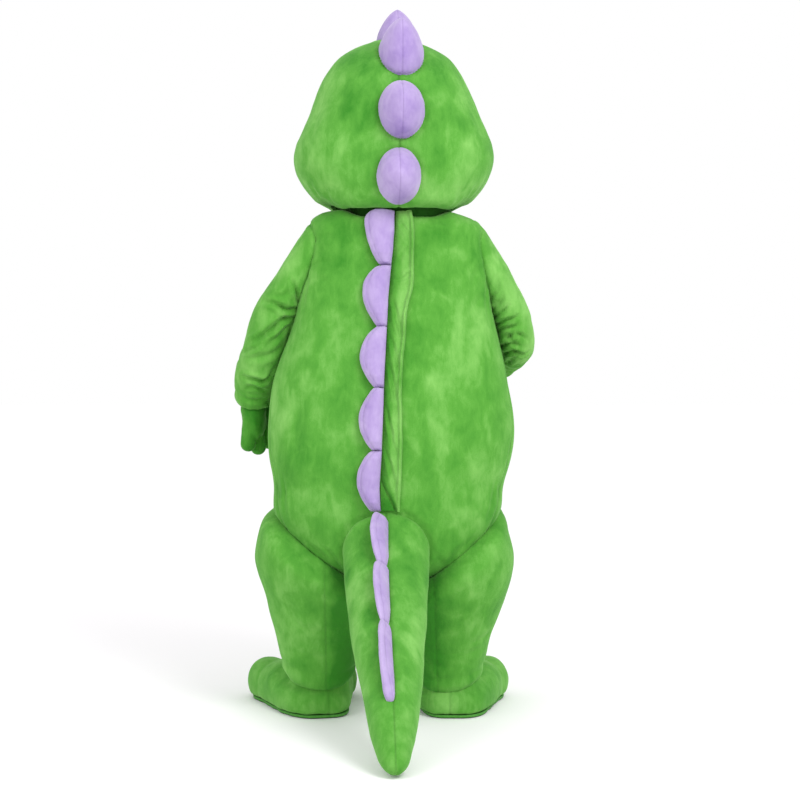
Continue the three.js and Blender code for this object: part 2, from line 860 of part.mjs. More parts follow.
for (const name of ["left", "right"]) {
  const place = footFrame(name);
  // the ankle band, standing inside the leg's hem
  const ankle = (shrink, top) =>
    solid(
      [40, top].map((z) =>
        turns(FOOT_SIDES).map((a) =>
          place(
            (ANKLE.across - shrink) * Math.cos(a),
            (ANKLE.along - shrink) * Math.sin(a),
            z,
          ),
        ),
      ),
    );
  const make = (shrink) =>
    TOES.reduce(
      (m, t) => m.add(toe(name, t, shrink)),
      solid(footRings(name, shrink)),
    );
  const upper = make(0)
    .add(ankle(0, ANKLE.top))
    .subtract(solid(footRings(name, SHOE_WALL)))
    .subtract(ankle(SHOE_WALL, ANKLE.top + 90))
    .subtract(legBand[name])
    .trimByPlane([0, 0, 1], SOLE_THICK + GAP / 2);
  add("shoe_" + name + "_upper", largest(upper), GREEN);

  // sole: the plan of the foot and its toes
  const whole = make(0);
  const slice = whole
    .trimByPlane([0, 0, 1], 16)
    .trimByPlane([0, 0, -1], -17);
  const plan = outlineRound(slice, place(0, 70, 0));
  const ring = (z, grow) =>
    plan.map((p) => {
      const c = place(0, 70, 0);
      const d = V(p.x - c.x, p.y - c.y, 0);
      const l = d.length();
      return V(c.x + (d.x * (l + grow)) / l, c.y + (d.y * (l + grow)) / l, z);
    });
  add(
    "shoe_" + name + "_sole",
    solid([ring(0, 0), ring(SOLE_THICK - GAP / 2, 1.5)]),
    DARK,
  );
}
// The outline of a thin horizontal slice, seen from a point in it.
function outlineRound(slice, from) {
  const { numProp, vertProperties, triVerts } = slice.getMesh();
  const P = (i) => [vertProperties[i * numProp], vertProperties[i * numProp + 1]];
  return turns(32).map((a) => {
    const d = [Math.cos(a), Math.sin(a)];
    let far = 0;
    for (let t = 0; t < triVerts.length; t++) {
      const k = t % 3,
        i = triVerts[t],
        j = triVerts[k === 2 ? t - 2 : t + 1];
      const [ax, ay] = P(i),
        [bx, by] = P(j);
      // crossing of the ray with the edge
      const ex = bx - ax,
        ey = by - ay,
        den = d[0] * ey - d[1] * ex;
      if (Math.abs(den) < 1e-9) continue;
      const wx = ax - from.x,
        wy = ay - from.y;
      const tt = (wx * ey - wy * ex) / den,
        u = (wx * d[1] - wy * d[0]) / den;
      if (u >= -1e-6 && u <= 1 + 1e-6 && tt > far) far = tt;
    }
    return V(from.x + d[0] * far, from.y + d[1] * far, 0);
  });
}

// ---- tail and its spikes
const tailStations = steps(0, TAIL.length - 1, TAIL.length - 1);
const tailRings = [
  ...tube(TAIL, tailStations, 12),
  [V(TAIL_TIP.x, TAIL_TIP.y, TAIL_TIP.z)],
];
const legClear = legOuter.left.add(legOuter.right);
const tail = largest(solid(tailRings).subtract(bodyOuter).subtract(legClear));
const tailOuter = filled(tailRings, GAP + 0.1);
{
  // cut along the middle by a plane through the tail's line
  const a = TAIL[1],
    b = TAIL.at(-1);
  const d = V(b.x - a.x, b.y - a.y, 0).normalize();
  const n = V(-d.y, d.x, 0); // to +x
  const p = V(a.x, a.y, a.z);
  add("tail_right", largest(side(tail, n, p)), GREEN);
  add("tail_left", largest(side(tail, n.clone().negate(), p)), GREEN);
}
// A stuffed fin: stations along its seam, each a closed lens from the seam out to the rim.
function fin(stations, thick) {
  const across = 4;
  return stations.map(({ base, out, through, reach, full }) => {
    if (reach < 0.5) return [base.clone()];
    const ring = [];
    const half = (v) =>
      0.5 * thick * full * Math.sqrt(Math.max(1 - v ** 2.2, 0)) * (0.72 + 0.28 * Math.min(1, v * 3));
    for (let i = 0; i <= across; i++) {
      const v = i / across;
      ring.push(
        base
          .clone()
          .addScaledVector(out, reach * v)
          .addScaledVector(through, half(v)),
      );
    }
    for (let i = across - 1; i >= 0; i--) {
      const v = i / across;
      ring.push(
        base
          .clone()
          .addScaledVector(out, reach * v)
          .addScaledVector(through, -half(v)),
      );
    }
    return ring;
  });
}
// Rounded outline of a fin, 0 at both ends of its seam, 1 at its peak.
const rounded = (t, peak, blunt) => {
  const k = Math.log(0.5) / Math.log(peak);
  return Math.max(Math.sin(Math.PI * t ** k), 0) ** blunt;
};
// Stations along a fin, closer together at its ends, where it stays blunt.
const FIN_STEPS = [0, 0.02, 0.1, 0.22, 0.38, 0.56, 0.74, 0.9, 0.98, 1];
{
  const up = (s) => {
    const a = at(TAIL, Math.max(s - 0.05, 0)),
      b = at(TAIL, s + 0.05);
    const t = V(b.x - a.x, b.y - a.y, b.z - a.z).normalize();
    const across = V(1, 0, 0);
    return across.clone().cross(t).negate().normalize();
  };
  TAIL_SPIKES.forEach((r, i) => {
    const lean = (r.lean * Math.PI) / 180;
    const stations = FIN_STEPS.map((t) => {
      const s = r.from + (r.to - r.from) * t,
        row = at(TAIL, s),
        u = up(s);
      const seat = V(row.x - 4, row.y, row.z).addScaledVector(u, row.rw - 7);
      const out = u
        .clone()
        .multiplyScalar(Math.cos(lean))
        .add(V(-Math.sin(lean), 0, 0))
        .normalize();
      // the last one is rounded off at its lower end
      const last = i === TAIL_SPIKES.length - 1 && t > r.peak;
      const round = rounded(t, r.peak, last ? 0.5 : 0.85),
        neck = last ? 8 : SPIKE_NECK + 6;
      const along = V(0, -0.745, -0.667);
      return {
        base: seat,
        out,
        through: along.clone().cross(out).normalize(),
        reach: t === 0 || t === 1 ? 0 : neck + (r.high - neck) * round,
        full: Math.min(1, 0.45 + round),
      };
    });
    add(
      "tail_spike_" + (i + 1),
      largest(
        solid(fin(stations, r.thick)).subtract(tailOuter).subtract(bodyOuter),
      ),
      LAVENDER,
    );
  });
}

// ---- what lies on the back: a point of its surface, moved out
function onBack(x, z, out) {
  const r = atZ(BODY, z),
    e = 2;
  const y = (xx, zz) => {
    const q = atZ(BODY, zz);
    const k = Math.min(Math.abs(xx - q.cx) / q.rx, 0.999);
    return -q.back * (1 - k ** q.n) ** (1 / q.n);
  };
  const n = V(
    -(y(x + e, z) - y(x - e, z)) / (2 * e),
    1,
    -(y(x, z + e) - y(x, z - e)) / (2 * e),
  )
    .normalize()
    .negate();
  return V(x, y(x, z), z).addScaledVector(n, out);
}
const spineX = (z) => atZ(SPINE, z).x;
BACK_SPIKES.forEach((r, i) => {
  const rings = FIN_STEPS.map((t) => {
    const z = r.top + (r.bottom - r.top) * t;
    const round = rounded(t, r.peak, r.blunt);
    const x1 = spineX(z) + 1;
    if (t === 0 || t === 1) return [onBack(x1 - 12, z, 8)];
    const reach = SPIKE_NECK + (r.reach - SPIKE_NECK) * round,
      across = 4,
      ring = [];
    const rise = (v) =>
      BACK_SPIKE_THICK * Math.min(1, 0.5 + round) * Math.sin(Math.PI * (0.08 + 0.9 * v) ** 0.8) ** 0.6;
    for (let k = 0; k <= across; k++) {
      const v = k / across;
      ring.push(onBack(x1 - reach * v, z, 4.5 + 4 * v + rise(v)));
    }
    for (let k = across; k >= 0; k--) {
      const v = k / across;
      ring.push(onBack(x1 - reach * v, z, 4 + 3.5 * v - (k === 0 ? 2.5 : 0)));
    }
    return ring;
  });
  add(
    "back_spike_" + (i + 1),
    largest(solid(rings).subtract(bodyOuter)),
    LAVENDER,
  );
});
function strip(rows, stations, outlineOf) {
  return solid(stations.map((s) => outlineOf(at(rows, s))));
}
add(
  "placket",
  largest(
    strip(PLACKET, steps(0, PLACKET.length - 1, 14), (r) => [
      onBack(r.left, r.z, GAP + 0.6),
      onBack(r.left, r.z, GAP + 3.6),
      onBack(r.left * 0.5 + r.right * 0.5, r.z, GAP + 4.6),
      onBack(r.right - 7, r.z, GAP + 3.6 + r.stand * 0.8),
      onBack(r.right, r.z, GAP + 3.2 + r.stand * 0.5),
      onBack(r.right - 0.5, r.z, GAP + 0.8),
      onBack(r.left * 0.5 + r.right * 0.5, r.z, GAP + 0.6),
    ]).subtract(bodyOuter),
  ),
  GREEN,
);
add(
  "underlap",
  largest(
    strip(UNDERLAP, steps(0, UNDERLAP.length - 1, 4), (r) => [
      onBack(r.left, r.z, GAP + 0.5),
      onBack(r.left, r.z, GAP + 2.6),
      onBack(r.right, r.z, GAP + 2.6),
      onBack(r.right, r.z, GAP + 0.5),
    ]).subtract(bodyOuter),
  ),
  GREEN,
);

// ---- head, turned a little
const headGroup = new THREE.Group();
headGroup.position.x = HEAD_PIVOT_X;
headGroup.rotation.z = (HEAD_YAW * Math.PI) / 180;
root.add(headGroup);
const HEAD_SIDES = 20;
// Below 0 inside the head: its oval sections and the muzzle, joined softly.
function headField(x, y, row) {
  const dy = y - HEAD_CY;
  const oval1 =
    (((Math.abs(x) / row.rx) ** row.n +
      (Math.abs(dy) / (dy < 0 ? row.back : row.front)) ** row.n) **
      (1 / row.n) -
      1) *
    row.rx;
  const egg =
    (Math.hypot(
      x / MUZZLE.rx,
      (y - MUZZLE.y) / MUZZLE.ry,
      (row.z - MUZZLE.z) / MUZZLE.rz,
    ) -
      1) *
    MUZZLE.rz;
  const k = MUZZLE.soft,
    h = Math.max(k - Math.abs(oval1 - egg), 0) / k;
  return Math.min(oval1, egg) - (h * h * k) / 4;
}
const headRing = (row) =>
  row.rx < 1
    ? [V(0, HEAD_CY, row.z)]
    : turns(HEAD_SIDES).map((a) => {
        // even turns round a circle, squashed to the oval, so that sides stay even
        const d = V(Math.cos(a), Math.sin(a), 0);
        let lo = 0,
          hi = 420;
        for (let r = 420; r > 0; r -= 6)
          if (headField(r * d.x, HEAD_CY + r * d.y, row) < 0) {
            lo = r;
            hi = r + 6;
            break;
          }
        for (let i = 0; i < 20; i++) {
          const r = (lo + hi) / 2;
          if (headField(r * d.x, HEAD_CY + r * d.y, row) < 0) lo = r;
          else hi = r;
        }
        return V(lo * d.x, HEAD_CY + lo * d.y, row.z);
      });
const headRings = [0, 1, 2, 3, 3.8, 4.6, 5.4, 6.2, 7, 8, 9.5, 11, 12.3, 13.4, 14.3, 15].map((s) =>
  headRing(at(HEAD, s)),
);
const headWall = wall(headRings, HEAD_WALL);
const headOuter = filled(headRings, GAP + 0.1);
// mouth panel: cut out of the front by a curved prism, kept GAP inside it
function mouthPrism(grow) {
  const xs = steps(-1, 1, 8);
  const line = (t, edge) =>
    MOUTH.z +
    MOUTH.rise * t * t +
    edge * (MOUTH.drop * Math.sqrt(Math.max(1 - t * t, 0)) + grow);
  const shape = [
    ...xs.map((t) => [t * (MOUTH.half + grow), line(t, -1)]),
    ...xs
      .slice(0)
      .reverse()
      .map((t) => [t * (MOUTH.half + grow), line(t, 1)]),
  ];
  return solid([150, 420].map((y) => shape.map(([x, z]) => V(x, y, z))));
}
const front = side(headWall, V(0, 1, 0), V(0, HEAD_CY + 18, 0));
const back = side(headWall, V(0, -1, 0), V(0, HEAD_CY + 18, 0));
add(
  "head_front",
  largest(front.subtract(mouthPrism(GAP))),
  GREEN,
  0.9,
  headGroup,
);
add(
  "mouth_mesh",
  largest(front.intersect(mouthPrism(0))),
  DARK,
  0.8,
  headGroup,
);
add(
  "head_back_left",
  largest(side(back, V(-1, 0, 0), V(HEAD_SEAM_X, 0, 0))),
  GREEN,
  0.9,
  headGroup,
);
add(
  "head_back_right",
  largest(side(back, V(1, 0, 0), V(HEAD_SEAM_X, 0, 0))),
  GREEN,
  0.9,
  headGroup,
);
function dome(c, mirror, grow = 0) {
  const g = new THREE.SphereGeometry(1, 12, 8);
  g.scale(c.rx + grow, c.ry + grow, c.rz + grow);
  g.rotateX(-0.28);
  g.rotateZ(mirror * -0.42);
  g.translate(mirror * c.x, c.y, c.z);
  return fromGeometry(g);
}
for (const [name, mirror] of [
  ["left", -1],
  ["right", 1],
]) {
  add(
    "eye_" + name,
    largest(dome(EYE, mirror).subtract(headOuter)),
    WHITE,
    0.4,
    headGroup,
  );
  add(
    "pupil_" + name,
    largest(
      dome(PUPIL, mirror)
        .subtract(dome(EYE, mirror, GAP))
        .subtract(headOuter),
    ),
    0x101010,
    0.3,
    headGroup,
  );
}
// head spikes: rounded cones standing on the midline
HEAD_SPIKES.forEach((r, i) => {
  const aim = (r.aim * Math.PI) / 180;
  const axis = V(0, -Math.cos(aim), Math.sin(aim)),
    along = V(0, Math.sin(aim), Math.cos(aim)),
    across = V(1, 0, 0);
  const profile = table(
    ["h", "k"],
    [
      [-0.22, 1.02],
      [0.0, 1.0],
      [0.22, 0.94],
      [0.46, 0.79],
      [0.7, 0.57],
      [0.88, 0.33],
      [1.0, 0],
    ],
  );
  const rings = profile.map(({ h, k }) => {
    const c = V(r.x, r.y, r.z)
      .addScaledVector(axis, r.high * h)
      .addScaledVector(along, r.lean * Math.max(h, 0) ** 2);
    return k === 0
      ? [c]
      : turns(10).map((a) =>
          c
            .clone()
            .addScaledVector(across, r.rs * k * Math.cos(a))
            .addScaledVector(along, r.rl * k * Math.sin(a)),
        );
  });
  add(
    "head_spike_" + (i + 1),
    largest(solid(rings).subtract(headOuter)),
    LAVENDER,
    0.9,
    headGroup,
  );
});

export default root;
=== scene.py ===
"""Dinosaur mascot costume, worn, seen from behind: Blender 4.5 script.

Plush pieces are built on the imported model's own forms, finer, with their seams, folds
and pile. Tables hold millimetres above the floor; the row frame is metres with the
floor at -1.311.
"""

import math

import bmesh
import bpy
import numpy as np
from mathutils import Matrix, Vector
from mathutils.kdtree import KDTree


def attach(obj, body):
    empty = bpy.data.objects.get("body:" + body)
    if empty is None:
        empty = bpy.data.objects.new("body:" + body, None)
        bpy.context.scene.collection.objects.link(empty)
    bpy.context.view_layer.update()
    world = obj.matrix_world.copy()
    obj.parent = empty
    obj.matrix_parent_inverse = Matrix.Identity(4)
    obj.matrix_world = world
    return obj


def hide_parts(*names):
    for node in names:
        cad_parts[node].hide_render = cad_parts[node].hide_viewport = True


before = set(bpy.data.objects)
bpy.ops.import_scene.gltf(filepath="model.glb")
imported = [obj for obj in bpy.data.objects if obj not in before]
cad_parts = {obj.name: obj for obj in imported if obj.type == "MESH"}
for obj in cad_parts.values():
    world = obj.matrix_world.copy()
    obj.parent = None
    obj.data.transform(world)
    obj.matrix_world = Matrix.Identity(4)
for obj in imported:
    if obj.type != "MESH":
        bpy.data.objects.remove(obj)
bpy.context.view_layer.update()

FLOOR = 1311.0  # millimetres from the floor up to the row's origin
SUIT_WALL, HEAD_WALL, GLOVE_WALL, SHOE_WALL = 3.0, 9.0, 2.5, 6.0
GAP = 0.3
HEAD_YAW, HEAD_PIVOT_X, HEAD_SEAM_X, HEAD_CY = math.radians(3), -1.5, 5.0, 30.0
SOLE_THICK = 9.0
TAU = 2 * math.pi
scene = bpy.context.scene


# ---------------------------------------------------------------- tables
def table(names, rows):
    return {n: np.array([r[i] for r in rows], float) for i, n in enumerate(names.split())}


# Body sections: centre x, half width, depth behind and in front, squareness.
BODY = table(
    "z cx rx back front n",
    [
        [1349, 10, 148, 110, 116, 2.1],
        [1338, -6, 189, 117, 124, 2.3],
        [1320, -4, 221, 123, 132, 2.6],
        [1294, 4, 233, 128, 140, 2.9],
        [1225, 6.75, 240, 133, 156, 3.0],
        [1167, 5.4, 246, 141, 178, 2.95],
        [1105, 0, 256, 152, 206, 2.85],
        [1032, -3, 274, 166, 240, 2.7],
        [960, -8, 296, 181, 266, 2.55],
        [890, -12, 315, 196, 288, 2.4],
        [820, -10, 328, 207, 300, 2.3],
        [750, -10, 332, 213, 304, 2.3],
        [680, -14, 325, 215, 300, 2.3],
        [615, -17, 311, 213, 288, 2.3],
        [550, -20, 305, 210, 266, 2.35],
        [490, -20, 276, 205, 234, 2.4],
        [430, -18, 240, 192, 190, 2.4],
        [385, -14, 190, 160, 142, 2.3],
        [356, -11, 120, 105, 92, 2.2],
        [345, -10, 0, 0, 0, 2.1],
    ],
)
LEG_PLANE = {"left": (319.0, -0.7, 0.18), "right": (332.5, 0.75, 0.18)}
LEGS = {
    "left": table(
        "z cx cy rx back front n sx sy",
        [
            [403, -202, 4, 165, 196, 206, 2.3, -0.56, 0.16],
            [360, -211, 4, 168, 184, 196, 2.2, -0.45, 0.13],
            [323, -212, 3, 159, 166, 180, 2.15, -0.39, 0.12],
            [280, -209.5, 1, 142, 146, 160, 2.1, -0.32, 0.12],
            [237, -210, -1, 128, 129, 140, 2.1, -0.25, 0.13],
            [190, -209, -2, 113, 115, 122, 2.1, -0.18, 0.16],
            [145, -207, -3, 101, 105, 108, 2.1, -0.1, 0.24],
            [108, -203.5, -3, 91, 100, 99, 2.1, -0.05, 0.32],
        ],
    ),
    "right": table(
        "z cx cy rx back front n sx sy",
        [
            [395, 158, 4, 149, 192, 202, 2.3, 0.62, 0.16],
            [351, 167, 4, 154, 180, 194, 2.2, 0.51, 0.13],
            [313, 168, 3, 149, 164, 178, 2.15, 0.44, 0.12],
            [273, 165, 1, 137, 146, 158, 2.1, 0.38, 0.12],
            [233, 160, -1, 122.5, 128, 138, 2.1, 0.31, 0.13],
            [189, 154, -2, 106, 113, 120, 2.1, 0.24, 0.15],
            [138, 150, -3, 94, 103, 106, 2.1, 0.14, 0.2],
            [92, 145, -3, 84, 97, 96, 2.1, 0.09, 0.24],
        ],
    ),
}
LEG_SEAM = {"left": (-182.0, 0.0), "right": (101.0, -0.04)}  # x at z = 400, slope
SLEEVES = {
    "left": table(
        "x y z ru rw",
        [
            [-176, 0, 1292, 50, 76],
            [-202, 2, 1268, 52, 78],
            [-247, 6, 1201, 52, 76],
            [-288, 10, 1139, 52, 72],
            [-322, 14, 1078, 58, 68],
            [-340, 22, 1025, 60, 66],
            [-356, 36, 972, 59, 64],
            [-378, 62, 912, 60, 60],
            [-387, 84, 868, 53, 54],
            [-391, 98, 832, 46, 50],
        ],
    ),
    "right": table(
        "x y z ru rw",
        [
            [180, 0, 1292, 50, 76],
            [205, 2, 1266, 50, 78],
            [246, 6, 1202, 50, 76],
            [285, 10, 1132, 49, 70],
            [313, 16, 1076, 50, 64],
            [324, 24, 1035, 50, 60],
            [332, 50, 1001, 49, 56],
            [333, 96, 990, 47, 52],
            [325, 150, 978, 46, 52],
            [308, 200, 962, 46, 50],
            [292, 240, 936, 42, 46],
        ],
    ),
}
PALMS = {
    "left": table(
        "x y z ru rw",
        [
            [-389, 92, 862, 34, 40],
            [-391, 99, 830, 34, 40],
            [-390, 107, 795, 33, 50],
            [-387, 116, 765, 30, 56],
            [-384, 122, 748, 20, 46],
        ],
    ),
    "right": table(
        "x y z ru rw",
        [
            [301, 218, 951, 29, 31],
            [291, 243, 932, 28, 30],
            [283, 257, 896, 32, 48],
            [278, 268, 868, 29, 54],
            [275, 274, 850, 20, 44],
        ],
    ),
}
FINGERS = {  # root, tip, radius
    "left": [
        [-399, 80, 785, -404, 84, 722, 22],
        [-386, 112, 780, -379, 122, 711, 22],
        [-370, 142, 785, -355, 158, 725, 21],
        [-368, 140, 815, -345, 178, 772, 20],
    ],
    "right": [
        [294, 238, 880, 297, 262, 822, 21],
        [281, 266, 880, 279, 293, 818, 22],
        [263, 292, 884, 257, 318, 826, 21],
        [262, 284, 908, 236, 318, 878, 20],
    ],
}
FOOT = {"left": (-204.0, -5.0, 13.0), "right": (146.0, -5.0, -3.0)}  # x, y, turn
ANKLE = {"across": 80.0, "along": 86.0, "top": 150.0}
FOOT_SECTIONS = table(
    "along outer inner high lift",
    [
        [-99, 30, 14, 44, 20],
        [-90, 58, 40, 66, 9],
        [-60, 90, 66, 82, 9],
        [-15, 110, 84, 96, 9],
        [40, 125, 97, 114, 9],
        [100, 137, 112, 130, 9],
        [170, 147, 122, 122, 9],
        [235, 134, 114, 104, 9],
        [290, 60, 56, 60, 12],
    ],
)
TOES = [[99, 224, 63, 108, 114], [4, 262, 62, 108, 130], [-88, 226, 58, 100, 118]]
TAIL = table(
    "x y z ru rw",
    [
        [-22, -120, 533, 110, 78],
        [-22, -215, 448, 112, 80],
        [-20, -300, 372, 105, 80],
        [-16, -400, 290, 95, 78],
        [-10, -500, 206, 81, 71],
        [-4, -590, 132, 66, 60],
        [-3, -660, 82, 54, 50],
        [-1, -712, 50, 42, 40],
        [2, -748, 31, 31, 28],
        [4, -768, 20, 17, 15],
    ],
)
TAIL_TIP = (5.0, -777.0, 14.0)
HEAD = table(
    "z rx back front n",
    [
        [1351, 174, 178, 150, 2.2],
        [1362, 194, 196, 168, 2.25],
        [1386, 220, 210, 190, 2.3],
        [1420, 245, 217, 206, 2.35],
        [1458, 264, 220, 216, 2.35],
        [1495, 270, 220, 219, 2.3],
        [1530, 264, 218, 216, 2.25],
        [1562, 251, 214, 208, 2.2],
        [1600, 234, 207, 196, 2.15],
        [1645, 218, 194, 180, 2.1],
        [1690, 201, 173, 160, 2.1],
        [1730, 178, 146, 137, 2.1],
        [1766, 147, 113, 110, 2.05],
        [1795, 100, 72, 74, 2],
        [1810, 54, 38, 40, 2],
        [1815, 0, 0, 0, 2],
    ],
)
MUZZLE = {"y": 176, "z": 1448, "rx": 176, "ry": 172, "rz": 90, "soft": 26}
HEAD_SPIKES = [  # x, y, z, aim, half width, half length, height, lean
    [12, 84, 1804, 84, 60, 68, 106, 2],
    [14, -72, 1748, 48, 61, 90, 118, 3],
    [10, -166, 1596, 12, 61, 79, 104, 0],
    [2, -180, 1427, -2, 58, 73, 100, 0],
]
SPINE = table(
    "z x",
    [
        [1345, -2],
        [1290, -2],
        [1240, -6],
        [1180, -12],
        [1110, -18],
        [1000, -23],
        [900, -28],
        [800, -31],
        [700, -35],
        [620, -40],
        [540, -36],
    ],
)
BACK_SPIKES = [  # top, bottom, reach, peak, bluntness
    [1337, 1197.4, 78, 0.2, 0.6],
    [1196.6, 1036.4, 69, 0.4, 0.85],
    [1035.6, 878.4, 66, 0.47, 0.85],
    [877.6, 717.4, 62, 0.5, 0.85],
    [716.6, 561, 60, 0.46, 0.85],
]
SPIKE_NECK = 25.0  # how wide the strip of spikes stays between two of them
TAIL_SPIKES = [  # from, to (row of the tail), reach, lean, thickness, peak
    [0.64, 2.0, 60, 34, 32, 0.36],
    [2.012, 3.46, 56, 30, 30, 0.36],
    [3.472, 5.42, 51, 24, 29, 0.36],
]
PLACKET = table(
    "z left right stand",
    [
        [1340, 2, 44, 4],
        [1290, 2, 51, 6],
        [1200, -6, 49, 7],
        [1140, -12, 47, 6],
        [1080, -17, 33, 8],
        [1000, -20, 27, 7],
        [900, -25, 18, 7],
        [830, -27, 18, 6],
        [740, -29, 20, 6],
        [660, -33, 17, 6],
        [632, -31, 16, 6],
        [600, -14, 14, 5],
        [560, 3, 13, 4],
    ],
)
UNDERLAP = table("z left right", [[640, -37, -35.5], [600, -36, -18.5], [562, -35, -0.5]])
EYE = {"x": 88, "y": 172, "z": 1640, "r": (50, 44, 62)}
PUPIL = {"x": 80, "y": 204, "z": 1636, "r": (22, 20, 30)}
MOUTH = {"half": 138, "z": 1412, "drop": 15, "rise": 40}


# ---------------------------------------------------------------- curves and grids
def at(t, s):
    """A table read between its rows, smooth through each row (Catmull-Rom)."""
    s = np.asarray(s, float)
    last = len(next(iter(t.values()))) - 1
    i = np.clip(np.floor(s).astype(int), 0, last - 1)
    f = s - i
    out = {}
    for k, v in t.items():
        a, b, c, d = (v[np.clip(i + j, 0, last)] for j in (-1, 0, 1, 2))
        out[k] = 0.5 * (
            2 * b
            + (c - a) * f
            + (2 * a - 5 * b + 4 * c - d) * f * f
            + (3 * b - a - 3 * c + d) * f**3
        )
    return out


def row_at(t, z):
    """The row number at which a table reaches a height."""
    last = len(t["z"]) - 1
    s = np.linspace(0, last, 6001)
    zs = at(t, s)["z"]
    if zs[0] > zs[-1]:
        s, zs = s[::-1], zs[::-1]
    return np.interp(z, np.maximum.accumulate(zs), s)


def at_z(t, z):
    return at(t, row_at(t, z))


def signed_power(v, p):
    return np.sign(v) * np.abs(v) ** p


def oval(rx, back, front, n, a):
    c, s = signed_power(np.cos(a), 2 / n), signed_power(np.sin(a), 2 / n)
    return rx * c, np.where(s < 0, back, front) * s


def lengths(p):
    """Distance along a line of points."""
    d = np.linalg.norm(np.diff(p, axis=0), axis=-1)
    return np.concatenate([[0], np.cumsum(d)])


def even_ring(x, y, count):
    """A closed outline again, with points evenly spaced."""
    p = np.stack([np.append(x, x[0]), np.append(y, y[0])], -1)
    along = lengths(p)
    want = np.arange(count) / count * along[-1]
    return np.interp(want, along, p[:, 0]), np.interp(want, along, p[:, 1])


def even_steps(t, count, profile):
    """Row numbers evenly spaced along a profile of a table."""
    s = np.linspace(0, len(next(iter(t.values()))) - 1, 3000)
    along = lengths(profile(at(t, s)))
    return np.interp(np.linspace(0, along[-1], count), along, s)


def unit(v):
    return v / np.maximum(np.linalg.norm(v, axis=-1, keepdims=True), 1e-9)


def grid_normals(p, around=True):
    """Normals of a grid of points (rows, columns), pointing away from each row's middle."""
    along = np.gradient(p, axis=0)
    if around:
        q = np.concatenate([p[:, -1:], p, p[:, :1]], 1)
        across = (q[:, 2:] - q[:, :-2]) / 2
    else:
        across = np.gradient(p, axis=1)
    n = unit(np.cross(across, along))
    if around:
        out = (n * (p - p.mean(1, keepdims=True))).sum(-1)
        n *= np.sign(np.median(out))
    return n


def smooth_rows(v, times=1):
    for _ in range(times):
        v = v.copy()
        v[1:-1] = (v[:-2] + 2 * v[1:-1] + v[2:]) / 4
    return v


# ---------------------------------------------------------------- noise and folds
_rng = np.random.default_rng(7)
_lattice = _rng.random((32, 32, 32)).astype(np.float32) * 2 - 1


def noise(p, size, seed=0):
    """Smooth noise from -1 to 1 at points in mm; size is the width of its lumps."""
    q = np.asarray(p, float) / size + np.array([seed * 7.31, seed * 3.17, seed * 5.71])
    i = np.floor(q).astype(int)
    f = q - i
    f = f * f * (3 - 2 * f)
    out = 0
    for dx in (0, 1):
        for dy in (0, 1):
            for dz in (0, 1):
                w = (
                    (f[..., 0] if dx else 1 - f[..., 0])
                    * (f[..., 1] if dy else 1 - f[..., 1])
                    * (f[..., 2] if dz else 1 - f[..., 2])
                )
                out = out + w * _lattice[(i[..., 0] + dx) % 32, (i[..., 1] + dy) % 32, (i[..., 2] + dz) % 32]
    return out


def bell(d, w):
    return np.exp(-((d / w) ** 2))


def polyline(pts, step=4.0):
    """A smooth line through points (Catmull-Rom), resampled."""
    p = np.array(pts, float)
    t = {"x": p[:, 0], "y": p[:, 1], "z": p[:, 2]}
    s = np.linspace(0, len(p) - 1, max(12, 8 * len(p)))
    c = at(t, s)
    line = np.stack([c["x"], c["y"], c["z"]], -1)
    along = lengths(line)
    want = np.linspace(0, along[-1], max(3, int(along[-1] / step)))
    return np.stack([np.interp(want, along, line[:, k]) for k in range(3)], -1)


def fold(p, pts, depth, width, ridge=0.45, taper=1.0, warp=3.0, reach=None):
    """How far points move out for one soft crease along a line: a trough with a ridge on
    each side, dying away at its ends. pts lie on the surface."""
    line = polyline(pts)
    reach = reach or width * 4.5
    lo, hi = line.min(0) - reach, line.max(0) + reach
    shape = p.shape[:-1]
    q = p.reshape(-1, 3)
    out = np.zeros(len(q))
    pick = np.flatnonzero(((q > lo) & (q < hi)).all(1))
    if not len(pick):
        return out.reshape(shape)
    near = q[pick]
    near = near + warp * np.stack([noise(near, 26, 1), noise(near, 26, 2), noise(near, 26, 3)], -1)
    best, where = np.full(len(pick), 1e9), np.zeros(len(pick))
    for k in range(len(line)):
        d = ((near - line[k]) ** 2).sum(1)
        m = d < best
        best[m], where[m] = d[m], k / max(len(line) - 1, 1)
    d = np.sqrt(best)
    ends = np.clip(np.sin(np.pi * np.clip(where, 0.02, 0.98)), 0, 1) ** (0.6 * taper)
    w = width * (0.75 + 0.25 * ends)
    out[pick] = ends * (-depth * bell(d, w) + depth * ridge * bell(d - 2.1 * w, w * 1.15))
    return out.reshape(shape)


class Seam:
    """Where cloth is sewn: points along the seam, and how far others lie from it."""

    def __init__(self, pts):
        self.pts = np.asarray(pts, float).reshape(-1, 3)
        self.tree = KDTree(len(self.pts))
        for i, q in enumerate(self.pts):
            self.tree.insert(q, i)
        self.tree.balance()

    def distance(self, p, within=60.0):
        q = np.asarray(p, float).reshape(-1, 3)
        out = np.full(len(q), 1e3)
        lo, hi = self.pts.min(0) - within, self.pts.max(0) + within
        for i in np.flatnonzero(((q > lo) & (q < hi)).all(1)):
            out[i] = self.tree.find(q[i])[2]
        return out.reshape(np.shape(p)[:-1])


def pinch(d, depth, width, swell=0.35):
    """Cloth pulled in at a seam and swelling beside it."""
    return -depth * bell(d, width) + depth * swell * bell(d - 2.6 * width, width * 1.5)


def puckers(p, d, size, amount, reach, seed=0):
    """Small gathers that stand square to a seam and die away from it."""
    return amount * np.exp(-d / reach) * noise(p, size, seed)


